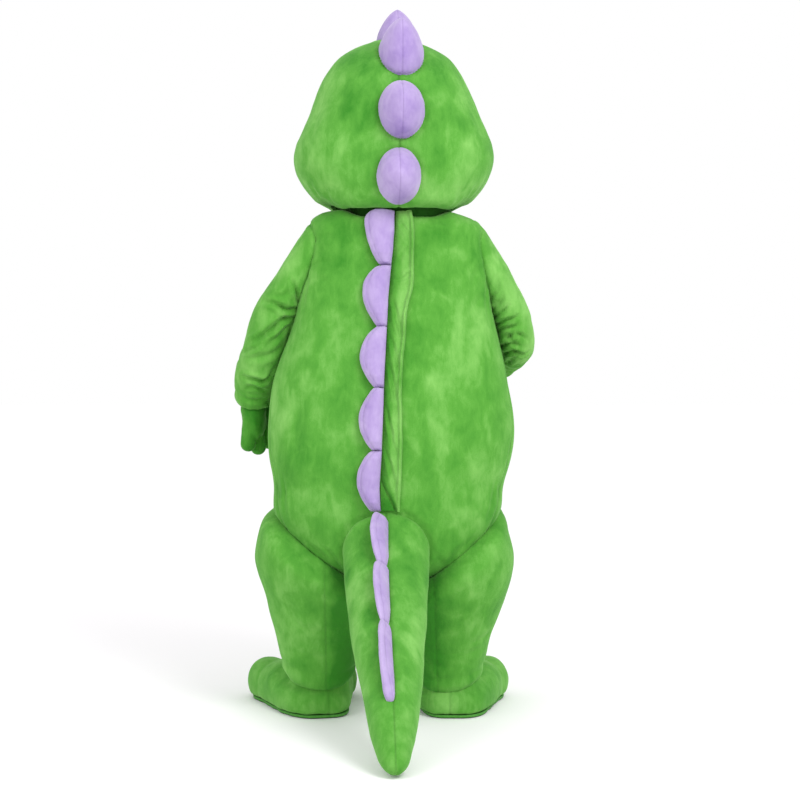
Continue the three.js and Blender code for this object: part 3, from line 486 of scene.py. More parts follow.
# ---------------------------------------------------------------- meshes
def make_mesh(name, verts, quads, tris=None):
    me = bpy.data.meshes.new(name)
    v = np.array(verts, np.float32)
    v = (v - np.array([0, 0, FLOOR], np.float32)) / 1000
    faces = [np.asarray(quads, np.int32).reshape(-1, 4)]
    tris = np.asarray(tris if tris is not None else [], np.int32).reshape(-1, 3)
    me.vertices.add(len(v))
    me.vertices.foreach_set("co", v.ravel())
    loops = np.concatenate([faces[0].ravel(), tris.ravel()])
    me.loops.add(len(loops))
    me.loops.foreach_set("vertex_index", loops)
    starts = np.concatenate([np.arange(len(faces[0])) * 4, len(faces[0]) * 4 + np.arange(len(tris)) * 3])
    me.polygons.add(len(starts))
    me.polygons.foreach_set("loop_start", starts.astype(np.int32))
    me.update(calc_edges=True)
    me.validate()
    return me


def ring_solid(rings, loop=False, pole_end=None, inner_pole=None):
    """Grid rings (rows, columns, 3) to a closed mesh's arrays. loop joins last to first;
    otherwise the ends are capped by a fan, to pole_end at the last one if given."""
    rows, cols = rings.shape[:2]
    verts = rings.reshape(-1, 3)
    k = np.arange(rows - 1)[:, None] * cols
    j = np.arange(cols)[None, :]
    j2 = (j + 1) % cols
    quads = np.stack([k + j, k + j2, k + cols + j2, k + cols + j], -1).reshape(-1, 4)
    tris = []
    if loop:
        a = (rows - 1) * cols
        quads = np.concatenate([quads, np.stack([a + j[0], a + j2[0], j2[0], j[0]], -1)])
    else:
        for row, turn in ((0, True), (rows - 1, False)):
            mid = rings[row].mean(0) if not (row and pole_end is not None) else np.array(pole_end)
            m = len(verts)
            verts = np.concatenate([verts, mid[None]])
            a = row * cols
            t = np.stack([a + j[0], a + j2[0], np.full(cols, m)], -1)
            tris.append(t[:, [0, 2, 1]] if turn else t)
    return verts, quads, (np.concatenate(tris) if tris else None)


def wall_mesh(name, outer, inner, closed=False):
    """A double wall: outer and inner grids with the same columns. Both are joined at their
    first rows, and at their last rows unless closed, where each ends in a pole."""
    cols = outer.shape[1]
    if not closed:
        rings = np.concatenate([outer, inner[::-1]])
        v, q, t = ring_solid(rings, loop=True)
        return fix_normals(make_mesh(name, v, q, t))
    rings = np.concatenate([inner[::-1], outer])
    v = rings.reshape(-1, 3)
    rows = len(rings)
    k = np.arange(rows - 1)[:, None] * cols
    j = np.arange(cols)[None, :]
    j2 = (j + 1) % cols
    q = np.stack([k + j, k + j2, k + cols + j2, k + cols + j], -1).reshape(-1, 4)
    a, b = len(v), len(v) + 1
    v = np.concatenate([v, rings[0].mean(0)[None], rings[-1].mean(0)[None]])
    first, last = j[0], (rows - 1) * cols + j[0]
    t = np.concatenate(
        [
            np.stack([j2[0], first, np.full(cols, a)], -1),
            np.stack([last, (rows - 1) * cols + j2[0], np.full(cols, b)], -1),
        ]
    )
    return fix_normals(make_mesh(name, v, q, t))


def fix_normals(me):
    bm = bmesh.new()
    bm.from_mesh(me)
    if bm.calc_volume(signed=True) < 0:
        bmesh.ops.reverse_faces(bm, faces=bm.faces)
    bm.to_mesh(me)
    bm.free()
    return me


def temp(me):
    o = bpy.data.objects.new("tmp_" + me.name, me)
    scene.collection.objects.link(o)
    return o


def drop(*objs):
    for o in objs:
        me = o.data
        bpy.data.objects.remove(o)
        if me.users == 0:
            bpy.data.meshes.remove(me)


def evaluated(o):
    dg = bpy.context.evaluated_depsgraph_get()
    return bpy.data.meshes.new_from_object(o.evaluated_get(dg))


def boolean(me, cutters, operation="DIFFERENCE"):
    """me with each cutter mesh taken away from it, or met with it."""
    o = temp(me)
    others = [temp(c) for c in cutters]
    for c in others:
        m = o.modifiers.new("cut", "BOOLEAN")
        m.operation, m.solver, m.object = operation, "MANIFOLD", c
    out = evaluated(o)
    bpy.data.objects.remove(o)
    for c in others:
        bpy.data.objects.remove(c)
    return out


def half_space(normal, point, keep=GAP / 2):
    """A large block on the positive side of a plane (mm above the floor)."""
    n = Vector(normal).normalized()
    q = n.to_track_quat("Z", "Y")
    bm = bmesh.new()
    bmesh.ops.create_cube(bm, size=1)
    for v in bm.verts:
        v.co = q @ Vector((v.co.x * 6, v.co.y * 6, (v.co.z + 0.5) * 6)) + (
            (Vector(point) - Vector((0, 0, FLOOR))) / 1000 + n * keep / 1000
        )
    me = bpy.data.meshes.new("half")
    bm.to_mesh(me)
    bm.free()
    return me


def keep_side(me, normal, point, keep=GAP / 2):
    return boolean(me, [half_space(normal, point, keep)], "INTERSECT")


def largest_part(me):
    """The largest connected part of a mesh."""
    bm = bmesh.new()
    bm.from_mesh(me)
    bm.verts.ensure_lookup_table()
    seen, best = set(), []
    for v in bm.verts:
        if v.index in seen:
            continue
        stack, part = [v], []
        seen.add(v.index)
        while stack:
            w = stack.pop()
            part.append(w)
            for e in w.link_edges:
                u = e.other_vert(w)
                if u.index not in seen:
                    seen.add(u.index)
                    stack.append(u)
        if len(part) > len(best):
            best = part
    if len(best) < len(bm.verts):
        keep = {v.index for v in best}
        bmesh.ops.delete(bm, geom=[v for v in bm.verts if v.index not in keep], context="VERTS")
        bm.to_mesh(me)
    bm.free()
    return me


def coords(me):
    c = np.empty(len(me.vertices) * 3, np.float32)
    me.vertices.foreach_get("co", c)
    return c.reshape(-1, 3).astype(float) * 1000 + np.array([0, 0, FLOOR])


def set_coords(me, c):
    me.vertices.foreach_set("co", (((c - np.array([0, 0, FLOOR])) / 1000).astype(np.float32)).ravel())
    me.update()


def remeshed(me, voxel, smooth=4):
    """The mesh as one even skin."""
    o = temp(me)
    m = o.modifiers.new("r", "REMESH")
    m.mode, m.voxel_size = "VOXEL", voxel / 1000
    if smooth:
        s = o.modifiers.new("s", "SMOOTH")
        s.factor, s.iterations = 0.5, smooth
    out = evaluated(o)
    bpy.data.objects.remove(o)
    return out


def subdivided(me, levels=1):
    o = temp(me)
    m = o.modifiers.new("s", "SUBSURF")
    m.levels = m.render_levels = levels
    out = evaluated(o)
    bpy.data.objects.remove(o)
    return out


def joined(meshes):
    bm = bmesh.new()
    for m in meshes:
        bm.from_mesh(m)
    out = bpy.data.meshes.new("joined")
    bm.to_mesh(out)
    bm.free()
    return out


made = {}


def piece(name, me, material, node=None, soft=None, angle=40):
    """The finished object for a CAD node."""
    o = bpy.data.objects.new(name + "_visual", me)
    scene.collection.objects.link(o)
    me.materials.clear()
    me.materials.append(material)
    me.polygons.foreach_set("use_smooth", np.ones(len(me.polygons), bool))
    if angle:
        me.set_sharp_from_angle(angle=math.radians(angle))
    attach(o, "root")
    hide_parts(node or name)
    made[name] = o
    return o


def area_of(me):
    bm = bmesh.new()
    bm.from_mesh(me)
    a = sum(f.calc_area() for f in bm.faces)
    bm.free()
    return a


def sheet(o, width, length):
    """States a cloth piece's cut: the flat size it needs, and its area."""
    area = area_of(o.data) / 2
    if area > width * length:
        k = math.sqrt(area / (width * length)) * 1.02
        width, length = width * k, length * k
    area = max(area, 0.31 * width * length)
    cuts[o.name] = (round(width, 3), round(length, 3), round(area, 4))


cuts = {}


# ---------------------------------------------------------------- materials
class Nodes:
    """Short calls for building a material's nodes."""

    def __init__(self, name):
        self.mat = bpy.data.materials.new(name)
        self.mat.use_nodes = True
        self.t = self.mat.node_tree
        self.out = self.t.nodes["Material Output"]
        self.bsdf = self.t.nodes["Principled BSDF"]
        self.coord = self.t.nodes.new("ShaderNodeTexCoord").outputs["Object"]

    def link(self, a, b):
        self.t.links.new(a, b)

    def node(self, kind, **sets):
        n = self.t.nodes.new(kind)
        for k, v in sets.items():
            if hasattr(n, k):
                setattr(n, k, v)
        return n

    def mapping(self, scale, location=(0, 0, 0), rotation=(0, 0, 0), source=None):
        n = self.node("ShaderNodeMapping")
        n.inputs["Scale"].default_value = scale
        n.inputs["Location"].default_value = location
        n.inputs["Rotation"].default_value = rotation
        self.link(source or self.coord, n.inputs["Vector"])
        return n.outputs[0]

    def noise(self, vector, scale, detail=3.0, rough=0.55, distort=0.0):
        n = self.node("ShaderNodeTexNoise")
        n.inputs["Scale"].default_value = scale
        n.inputs["Detail"].default_value = detail
        n.inputs["Roughness"].default_value = rough
        n.inputs["Distortion"].default_value = distort
        self.link(vector, n.inputs["Vector"])
        return n.outputs["Fac"]

    def ramp(self, fac, stops, interpolation="EASE"):
        n = self.node("ShaderNodeValToRGB")
        n.color_ramp.interpolation = interpolation
        e = n.color_ramp.elements
        while len(e) < len(stops):
            e.new(0.5)
        for el, (pos, col) in zip(e, stops):
            el.position, el.color = pos, (*col, 1)
        self.link(fac, n.inputs["Fac"])
        return n.outputs["Color"]

    def level(self, fac, low, high):
        n = self.node("ShaderNodeMapRange", interpolation_type="SMOOTHSTEP", clamp=True)
        n.inputs["From Min"].default_value = low
        n.inputs["From Max"].default_value = high
        self.link(fac, n.inputs["Value"])
        return n.outputs["Result"]

    def math(self, op, a, b=None, c=None):
        n = self.node("ShaderNodeMath", operation=op)
        for i, v in enumerate((a, b, c)):
            if v is None:
                continue
            if isinstance(v, (int, float)):
                n.inputs[i].default_value = v
            else:
                self.link(v, n.inputs[i])
        return n.outputs[0]

    def mix(self, fac, a, b, blend="MIX"):
        n = self.node("ShaderNodeMix", data_type="RGBA", blend_type=blend, clamp_factor=True)
        for sock, v in ((n.inputs[0], fac), (n.inputs[6], a), (n.inputs[7], b)):
            if isinstance(v, (int, float)):
                sock.default_value = v
            elif isinstance(v, tuple):
                sock.default_value = (*v, 1)
            else:
                self.link(v, sock)
        return n.outputs[2]

    def bump(self, height, distance, strength=1.0, normal=None):
        n = self.node("ShaderNodeBump")
        n.inputs["Strength"].default_value = strength
        n.inputs["Distance"].default_value = distance
        self.link(height, n.inputs["Height"])
        if normal is not None:
            self.link(normal, n.inputs["Normal"])
        return n.outputs["Normal"]

    def set(self, **values):
        for k, v in values.items():
            sock = self.bsdf.inputs[k.replace("_", " ")]
            sock.default_value = (*v, 1) if isinstance(v, tuple) and len(v) == 3 else v


def linear(r, g, b):
    """sRGB 0-255 to linear."""
    return tuple(
        (c / 255 / 12.92) if c / 255 <= 0.04045 else ((c / 255 + 0.055) / 1.055) ** 2.4 for c in (r, g, b)
    )


def plush(name, dark, mid, light, patch=9.0, sheen=0.35, sheen_tint=(1, 1, 1), contrast=1.0, pile=1.0, seed=0.0):
    """Short-pile plush: nap brushed into lighter and darker patches, soft edges, fine pile, with painted shade and
    light read per point from the mesh.
    """
    n = Nodes(name)
    where = n.mapping((1, 1, 1), location=(seed, seed * 0.37, seed * 0.73))

    def part(value, share):
        return n.math("MULTIPLY", n.math("SUBTRACT", value, 0.5), share)

    # brushed patches: broad ones, smaller ones, strokes that run down, fine pile
    wide = n.noise(n.mapping((1.0, 1.0, 0.75), source=where), patch, 2.0, 0.5, 0.7)
    small = n.noise(n.mapping((1.15, 1.15, 0.7), (3.1, 1.7, 0.4), source=where), patch * 2.7, 2.5, 0.55, 0.6)
    strokes = n.noise(n.mapping((95, 60, 34), rotation=(0.0, 0.5, 0.35), source=where), 1.0, 2.5, 0.6, 0.6)
    fine = n.noise(where, 520, 2.0, 0.65)
    # per point, from the mesh: brushed nap with painted shade and painted light
    bias = n.node("ShaderNodeAttribute", attribute_name="nap").outputs["Fac"]
    nap = n.math("ADD", part(wide, 1.15 * contrast), part(small, 0.72 * contrast))
    nap = n.math("ADD", nap, part(strokes, 0.34 * contrast))
    nap = n.math("ADD", nap, part(fine, 0.34 * pile))
    nap = n.math("ADD", nap, n.math("MULTIPLY", bias, 0.5))
    nap = n.math("ADD", nap, 0.5)
    colour = n.ramp(nap, [(0.0, dark), (0.5, mid), (1.0, light)], "LINEAR")
    # painted shade: darker along the seams' creases, and all over the collar under the head
    seam = n.node("ShaderNodeAttribute", attribute_name="seam").outputs["Fac"]
    colour = n.mix(n.math("MULTIPLY", seam, 0.6), colour, tuple(c * 0.4 for c in dark))
    n.link(colour, n.bsdf.inputs["Base Color"])
    h = n.math("ADD", n.math("MULTIPLY", fine, 0.6), n.math("MULTIPLY", strokes, 0.3))
    soft = n.noise(where, 90, 2.5, 0.55, 0.3)
    first = n.bump(soft, 0.004, 0.22)
    n.link(n.bump(h, 0.002, 0.45 * pile, first), n.bsdf.inputs["Normal"])
    n.set(Roughness=0.9, Sheen_Weight=sheen, Sheen_Roughness=0.45, Sheen_Tint=sheen_tint)
    n.bsdf.inputs["Specular IOR Level"].default_value = 0.1
    return n.mat


GREEN = plush(
    "green_plush",
    linear(50, 122, 33),
    linear(82, 149, 54),
    linear(120, 178, 88),
    sheen=0.24,
    sheen_tint=(0.6, 1.0, 0.42),
)
LAVENDER = plush(
    "lavender_plush",
    linear(136, 114, 172),
    linear(162, 143, 190),
    linear(183, 166, 205),
    patch=16.0,
    sheen_tint=(0.92, 0.86, 1.0),
    contrast=0.75,
    pile=0.6,
    seed=2.3,
)


def sole_material():
    """Dark rubber below, with the upper's plush brought down over its edge."""
    n = Nodes("sole_rubber")
    grain = n.noise(n.coord, 240, 3, 0.6)
    dark = n.ramp(grain, [(0.3, linear(26, 34, 22)), (0.7, linear(44, 54, 38))])
    green = n.ramp(grain, [(0.3, linear(54, 124, 36)), (0.7, linear(78, 150, 50))])
    sep = n.node("ShaderNodeSeparateXYZ")
    n.link(n.coord, sep.inputs[0])
    edge = n.level(sep.outputs[2], -FLOOR / 1000 + 0.0012, -FLOOR / 1000 + 0.0030)
    colour = n.mix(edge, dark, green)
    n.link(colour, n.bsdf.inputs["Base Color"])
    n.link(n.bump(grain, 0.0012, 0.5), n.bsdf.inputs["Normal"])
    n.set(Roughness=0.8)
    return n.mat


def mesh_material():
    n = Nodes("mouth_mesh")
    p = n.mapping((1, 1, 1))
    sep = n.node("ShaderNodeSeparateXYZ")
    n.link(p, sep.inputs[0])
    lines = [n.math("SINE", n.math("MULTIPLY", sep.outputs[i], TAU / 0.0022)) for i in (0, 2)]
    knit = n.math("MAXIMUM", lines[0], lines[1])
    worn = n.noise(n.coord, 30, 3)
    colour = n.mix(n.level(knit, 0.3, 0.9), linear(8, 10, 8), linear(44, 50, 42))
    colour = n.mix(n.math("MULTIPLY", worn, 0.3), colour, linear(30, 38, 28))
    n.link(colour, n.bsdf.inputs["Base Color"])
    n.link(n.bump(knit, 0.0008, 0.6), n.bsdf.inputs["Normal"])
    n.set(Roughness=0.7)
    return n.mat


def eye_material(name, base, rough):
    n = Nodes(name)
    cloud = n.noise(n.coord, 35, 3, 0.5)
    c = linear(*base)
    colour = n.ramp(cloud, [(0.3, tuple(v * 0.93 for v in c)), (0.7, c)])
    n.link(colour, n.bsdf.inputs["Base Color"])
    n.link(n.bump(n.noise(n.coord, 260, 2), 0.0003, 0.15), n.bsdf.inputs["Normal"])
    n.set(Roughness=rough, Coat_Weight=0.4, Coat_Roughness=0.08)
    return n.mat


SOLE = sole_material()
MESH = mesh_material()
EYE_WHITE = eye_material("eye_white", (240, 240, 234), 0.28)
PUPIL_BLACK = eye_material("pupil_black", (12, 12, 13), 0.18)


# Where the nap is brushed dark (below 0) or light on the side in the photograph, with painted shade where parts meet
# (the tail's root, between the tail and the legs): x, y there, half width, half height, amount.
NAP_PATCHES_AND_PAINTED_SHADE = [
    # head
    (352, 62, 26, 15, -0.75),
    (348, 104, 17, 30, -0.6),
    (326, 146, 9, 9, -0.4),
    (436, 72, 16, 20, -0.5),
    (462, 124, 13, 9, -0.4),
    (440, 158, 9, 14, -0.5),
    (372, 118, 9, 22, -0.35),
    (320, 118, 14, 20, 0.35),
    (400, 186, 70, 16, 0.45),
    (312, 160, 16, 20, 0.35),
    (474, 170, 16, 18, 0.3),
    (462, 92, 10, 22, 0.25),
    # back
    (344, 234, 22, 14, -0.6),
    (330, 262, 20, 12, -0.45),
    (324, 330, 12, 26, -0.3),
    (440, 236, 26, 12, -0.45),
    (478, 262, 10, 24, -0.35),
    (436, 286, 16, 10, -0.3),
    (350, 362, 14, 26, -0.25),
    (496, 412, 9, 26, -0.5),
    (470, 424, 14, 12, -0.12),
    (448, 450, 30, 30, 0.16),
    (334, 478, 18, 14, -0.3),
    (318, 520, 26, 16, -0.25),
    (440, 470, 16, 16, -0.25),
    (452, 352, 38, 40, 0.42),
    (446, 262, 24, 30, 0.3),
    (474, 316, 14, 30, 0.3),
    (300, 404, 22, 40, 0.35),
    (430, 400, 12, 30, 0.3),
    (466, 468, 26, 22, 0.25),
    (350, 430, 14, 30, 0.2),
    # tail
    (396, 530, 14, 12, -0.6),
    (362, 560, 9, 14, -0.5),
    (408, 574, 9, 18, -0.5),
    (372, 622, 7, 14, -0.35),
    (414, 640, 7, 22, 0.45),
    (360, 620, 12, 44, 0.42),
    (374, 690, 9, 14, -0.2),
    # legs and feet
    (300, 560, 24, 14, -0.3),
    (296, 620, 14, 26, 0.2),
    (452, 600, 12, 26, -0.25),
    (478, 588, 12, 20, 0.25),
    (290, 690, 24, 10, -0.3),
    (474, 694, 22, 10, -0.25),
    (340, 573, 9, 9, -0.7),
    (436, 580, 9, 8, -0.6),
    # sleeves
    (284, 268, 12, 20, 0.4),
    (262, 322, 14, 12, 0.3),
    (256, 372, 12, 20, 0.25),
    (500, 262, 9, 20, 0.4),
    (514, 306, 14, 34, 0.42),
]


def paint_seam_shade_and_nap(me, seams, width=4.0, amount=1.0, nap=0.0):
    """Writes painted shade along the seams, deeper the nearer a point is to one, and how the nap lies with its painted
    shade and light, to the attributes that the plush reads. A seam may carry its own width and amount."""
    c = coords(me)
    v = np.zeros(len(c))
    for s in seams:
        s, w, k = s if isinstance(s, tuple) else (s, width, amount)
        d = s(c) if callable(s) else s.distance(c, 30)
        v = np.maximum(v, k * bell(d, w))
    a = me.attributes.get("seam") or me.attributes.new("seam", "FLOAT", "POINT")
    a.data.foreach_set("value", v.astype(np.float32))
    k = 1703.7 / (4600 + c[:, 1])
    sx, sy = 400 + (c[:, 0] - 13.5) * k, 370 - (c[:, 2] - 924.5) * k
    sx, sy = sx + 5 * noise(c, 45, 201), sy + 5 * noise(c, 45, 202)
    out = np.full(len(c), 0.0) + (nap(c) if callable(nap) else nap)
    for x, y, rx, ry, amount_ in NAP_PATCHES_AND_PAINTED_SHADE:
        out += amount_ * np.exp(-((((sx - x) / rx) ** 2 + ((sy - y) / ry) ** 2) ** 1.4))
    a = me.attributes.get("nap") or me.attributes.new("nap", "FLOAT", "POINT")
    a.data.foreach_set("value", out.astype(np.float32))


# ---------------------------------------------------------------- the body's form
_bs = np.linspace(0, len(BODY["z"]) - 1, 6001)
_bz = at(BODY, _bs)["z"]


def body_row(z):
    return at(BODY, np.interp(-np.asarray(z, float), -_bz, _bs))


def body_depth(p):
    """Below 0 inside the body's oval, above 0 outside."""
    z = p[..., 2]
    r = body_row(z)
    dx = np.abs(p[..., 0] - r["cx"]) / np.maximum(r["rx"], 1)
    dy = np.abs(p[..., 1]) / np.maximum(np.where(p[..., 1] < 0, r["back"], r["front"]), 1)
    d = dx ** r["n"] + dy ** r["n"] - 1
    return np.where((z <= BODY["z"][-1]) | (z >= BODY["z"][0]), 1.0, d)


def back_y(x, z):
    q = body_row(z)
    k = np.minimum(np.abs(x - q["cx"]) / np.maximum(q["rx"], 1), 0.999)
    return -q["back"] * (1 - k ** q["n"]) ** (1 / q["n"])


def front_y(x, z):
    q = body_row(z)
    k = np.minimum(np.abs(x - q["cx"]) / np.maximum(q["rx"], 1), 0.999)
    return q["front"] * (1 - k ** q["n"]) ** (1 / q["n"])


def on_back(x, z, out=0.0):
    """A point of the back's surface, moved out."""
    x, z = np.broadcast_arrays(np.asarray(x, float), np.asarray(z, float))
    e = 2.0
    n = np.stack(
        [
            (back_y(x + e, z) - back_y(x - e, z)) / (2 * e),
            -np.ones_like(x),
            (back_y(x, z + e) - back_y(x, z - e)) / (2 * e),
        ],
        -1,
    )
    n = unit(n)
    return np.stack([x, back_y(x, z), z], -1) + n * np.asarray(out)[..., None]


def on_body(angle, z):
    """A point of the body at an angle in degrees (0 its right, 90 front) and height."""
    r = body_row(z)
    x, y = oval(r["rx"], r["back"], r["front"], r["n"], math.radians(angle))
    return [float(r["cx"] + x), float(y), float(z)]


def body_grid(rows, cols):
    s = even_steps(BODY, rows + 1, lambda r: np.stack([r["rx"] * 0.35, -r["back"], r["z"]], -1))[:-1]
    s[0] = 0
    a = np.arange(1440) / 1440 * TAU
    grid = np.empty((rows, cols, 3))
    for k, sk in enumerate(s):
        r = at(BODY, sk)
        x, y = even_ring(*oval(r["rx"], r["back"], r["front"], r["n"], a), cols)
        grid[k] = np.stack([r["cx"] + x, y, np.full(cols, r["z"])], -1)
    return grid


def leg_hole(name, cols):
    z0, sx, sy = LEG_PLANE[name]
    cx = float(LEGS[name]["cx"][0]) * 0.93
    a = np.arange(cols) / cols * TAU
    lo, hi = np.zeros(cols), np.full(cols, 420.0)
    for _ in range(40):
        t = (lo + hi) / 2
        x, y = cx + t * np.cos(a), t * np.sin(a)
        inside = body_depth(np.stack([x, y, z0 + sx * x + sy * y], -1)) < 0
        lo, hi = np.where(inside, t, lo), np.where(inside, hi, t)
    x, y = cx + lo * np.cos(a), lo * np.sin(a)
    return np.stack([x, y, z0 + sx * x + sy * y], -1)


def leg_ring(name, s, cols):
    r = at(LEGS[name], s)
    x, y = oval(r["rx"], r["back"], r["front"], r["n"], np.arange(cols) / cols * TAU)
    return np.stack([r["cx"] + x, r["cy"] + y, r["z"] + r["sx"] * x + r["sy"] * y], -1)


def loft(controls, rows):
    """Rings between control rings, smooth along each column, evenly spaced."""
    c = np.asarray(controls, float)
    last = len(c) - 1

    def read(s):
        i = np.clip(np.floor(s).astype(int), 0, last - 1)
        f = (s - i)[:, None, None]
        a, b, d, e = (c[np.clip(i + j, 0, last)] for j in (-1, 0, 1, 2))
        return 0.5 * (2 * b + (d - a) * f + (2 * a - 5 * b + 4 * d - e) * f * f + (3 * b - a - 3 * d + e) * f**3)

    s = np.linspace(0, last, 400)
    dense = read(s)
    along = np.concatenate([[0], np.cumsum(np.linalg.norm(np.diff(dense, axis=0), axis=-1).mean(1))])
    return read(np.interp(np.linspace(0, along[-1], rows), along, s))


def tube(t, rows, cols, shrink=0.0, tip=None):
    """Rings round a curved centre line, square to it, evenly spaced. Also their row numbers."""
    last = len(t["x"]) - 1
    s = even_steps(t, rows, lambda r: np.stack([r["x"], r["y"], r["z"]], -1))
    r = at(t, s)
    c = np.stack([r["x"], r["y"], r["z"]], -1)
    a, b = at(t, np.maximum(s - 0.05, 0)), at(t, np.minimum(s + 0.05, last))
    d = unit(np.stack([b[k] - a[k] for k in "xyz"], -1))
    u = np.cross([0, 1, 0], d[0])
    u /= np.linalg.norm(u)
    if u[0] * c[0][0] < 0:
        u = -u
    ang = np.arange(cols) / cols * TAU
    out = np.empty((rows, cols, 3))
    for k in range(rows):
        if k:
            q = Vector(d[k - 1]).rotation_difference(Vector(d[k]))
            u = np.array(q @ Vector(u))
        w = np.cross(d[k], u)
        ru, rw = float(r["ru"][k]) - shrink, float(r["rw"][k]) - shrink
        out[k] = c[k] + np.outer(np.cos(ang) * ru, u) + np.outer(np.sin(ang) * rw, w)
    return out, s


def exit_rows(grid, inside):
    """For each column of a tube, where (in rows) it leaves what inside(points) < 0 fills."""
    d = inside(grid)
    rows, cols = d.shape
    out = np.zeros(cols)
    for j in range(cols):
        k = np.flatnonzero(d[:, j] < 0)
        if len(k) and k[-1] + 1 < rows:
            i = k[-1]
            out[j] = i + d[i, j] / (d[i, j] - d[i + 1, j])
    return out


def read_rows(grid, rows):
    """Columns of a grid read at fractional row numbers (n, cols)."""
    i = np.clip(np.floor(rows).astype(int), 0, len(grid) - 2)
    f = (rows - i)[..., None]
    j = np.arange(grid.shape[1])[None, :]
    return grid[i, j] * (1 - f) + grid[i + 1, j] * f


def from_exit(grid, start, rows, power=1.0):
    t = np.linspace(0, 1, rows)[:, None] ** power
    return read_rows(grid, start[None, :] + (len(grid) - 1 - start[None, :]) * t)


def neck_lift(p):
    """The suit's neck edge is cut lower at the centre back and rises to the shoulders."""
    x, y = p[..., 0], p[..., 1]
    side = np.clip((np.abs(x - 4) - 84) / 70, 0, 1)
    side = side * side * (3 - 2 * side)
    return np.where(x < 4, 12.0, 4.0) * side - 17.0 * (1 - side) * (y < 0)


# ================================================================ body panels
BODY_ROWS, BODY_COLS = 226, 310
body_out = body_grid(BODY_ROWS, BODY_COLS)
body_n = grid_normals(body_out)


def inside_body(p):
    return body_depth(p)


sleeve_tube, sleeve_rows, sleeve_start = {}, {}, {}
for name in ("left", "right"):
    g, s = tube(SLEEVES[name], 420, 122)
    sleeve_tube[name], sleeve_rows[name] = g, s
    sleeve_start[name] = exit_rows(g, inside_body)
tail_tube, tail_s = tube(TAIL, 300, 140)
tail_start = exit_rows(tail_tube, inside_body)


def start_ring(grid, start):
    return read_rows(grid, start[None, :])[0]


ARMHOLE = {k: Seam(start_ring(sleeve_tube[k], sleeve_start[k])) for k in sleeve_tube}
LEGHOLE = {k: Seam(leg_hole(k, 360)) for k in ("left", "right")}
TAILHOLE = Seam(start_ring(tail_tube, tail_start))
SIDE = {"y0": -85.0, "z0": 540.0, "slope": 0.105}


def side_seam(p):
    return np.abs(-(p[..., 1] - SIDE["y0"]) + SIDE["slope"] * (p[..., 2] - SIDE["z0"])) / math.hypot(1, SIDE["slope"])


def back_seam(p):
    return np.where(p[..., 1] < 0, np.abs(p[..., 0] + 14), 1e3)


def spine_x(z):
    return np.interp(z, SPINE["z"][::-1], SPINE["x"][::-1])


def placket_edges(z):
    r = at_z(PLACKET, z)
    return r["left"], r["right"]


# Creases in the back and sides: points on the surface, depth, width (mm).
def back_line(*xz):
    return [on_back(x, z)[()].tolist() for x, z in xz]


def px(x, y, depth=-140.0):
    """Where the photograph's point (x, y) lies on the back, as x and height."""
    s = (4600 + depth) / 1703.7
    return 13.5 + (x - 400) * s, 924.5 - (y - 370) * s


def photo_line(*pts, depth=-140.0):
    return back_line(*[px(x, y, depth) for x, y in pts])


BODY_FOLDS = [
    # from the armholes
    (photo_line((308, 268), (318, 262), (332, 262)), 3.0, 6),
    (photo_line((306, 282), (318, 277), (330, 282)), 2.0, 6),
    (photo_line((312, 240), (322, 236), (336, 240)), 1.8, 7),
    (photo_line((487, 262), (478, 272), (470, 285)), 2.2, 8),
    (photo_line((488, 292), (478, 300), (470, 312)), 2.0, 8),
    # across the shoulders beside the placket
    (photo_line((420, 226), (436, 230), (455, 240)), 2.2, 8),
    (photo_line((432, 219), (450, 224), (468, 233)), 2.0, 7),
    (photo_line((350, 222), (335, 228), (322, 238)), 1.8, 8),
    # drag lines above the hips
    (photo_line((283, 478), (284, 496), (286, 517)), 4.0, 6),
    (photo_line((276, 470), (277, 490), (280, 505)), 2.2, 7),
    (photo_line((498, 478), (494, 500), (488, 520)), 4.0, 7),
    (photo_line((503, 470), (500, 490), (495, 508)), 2.4, 7),
    # above the tail and the leg seams
    (photo_line((300, 540), (318, 552), (338, 566)), 2.6, 8),
    (photo_line((322, 545), (334, 558), (343, 570)), 3.6, 7),
    (photo_line((478, 534), (462, 548), (440, 566)), 2.4, 8),
    (photo_line((435, 548), (440, 560), (446, 568)), 2.0, 7),
    # soft dents down the back
    (photo_line((300, 400), (296, 430), (300, 462)), 2.2, 18),
    (photo_line((470, 372), (478, 402), (474, 436)), 2.2, 20),
    (photo_line((430, 300), (446, 330), (450, 362)), 2.0, 20),
    (photo_line((340, 300), (332, 330), (330, 362)), 2.0, 20),
    (photo_line((405, 330), (414, 352), (412, 380)), 1.6, 9),
    (photo_line((402, 430), (410, 452), (408, 480)), 1.6, 9),
]
# The sides and the front, which the photograph hides, creased the same way.
for ang, z0, z1, da, dep, w in [
    (196, 1200, 1080, 10, 3.0, 9),
    (-14, 1190, 1060, -12, 3.0, 9),
    (60, 1300, 1180, 14, 3.2, 10),
    (122, 1300, 1170, -14, 3.2, 10),
    (75, 1140, 1010, -10, 2.6, 14),
    (108, 1100, 960, 8, 2.6, 14),
    (40, 760, 620, 14, 3.4, 14),
    (142, 760, 600, -14, 3.4, 14),
    (88, 560, 440, 6, 3.6, 12),
    (64, 500, 420, 10, 3.2, 10),
    (116, 500, 410, -10, 3.2, 10),
    (20, 900, 760, 12, 2.4, 16),
    (160, 900, 740, -10, 2.4, 16),
]:
    BODY_FOLDS.append(
        ([on_body(ang + da * t, z0 + (z1 - z0) * t) for t in (0, 0.5, 1)], dep, w),
    )


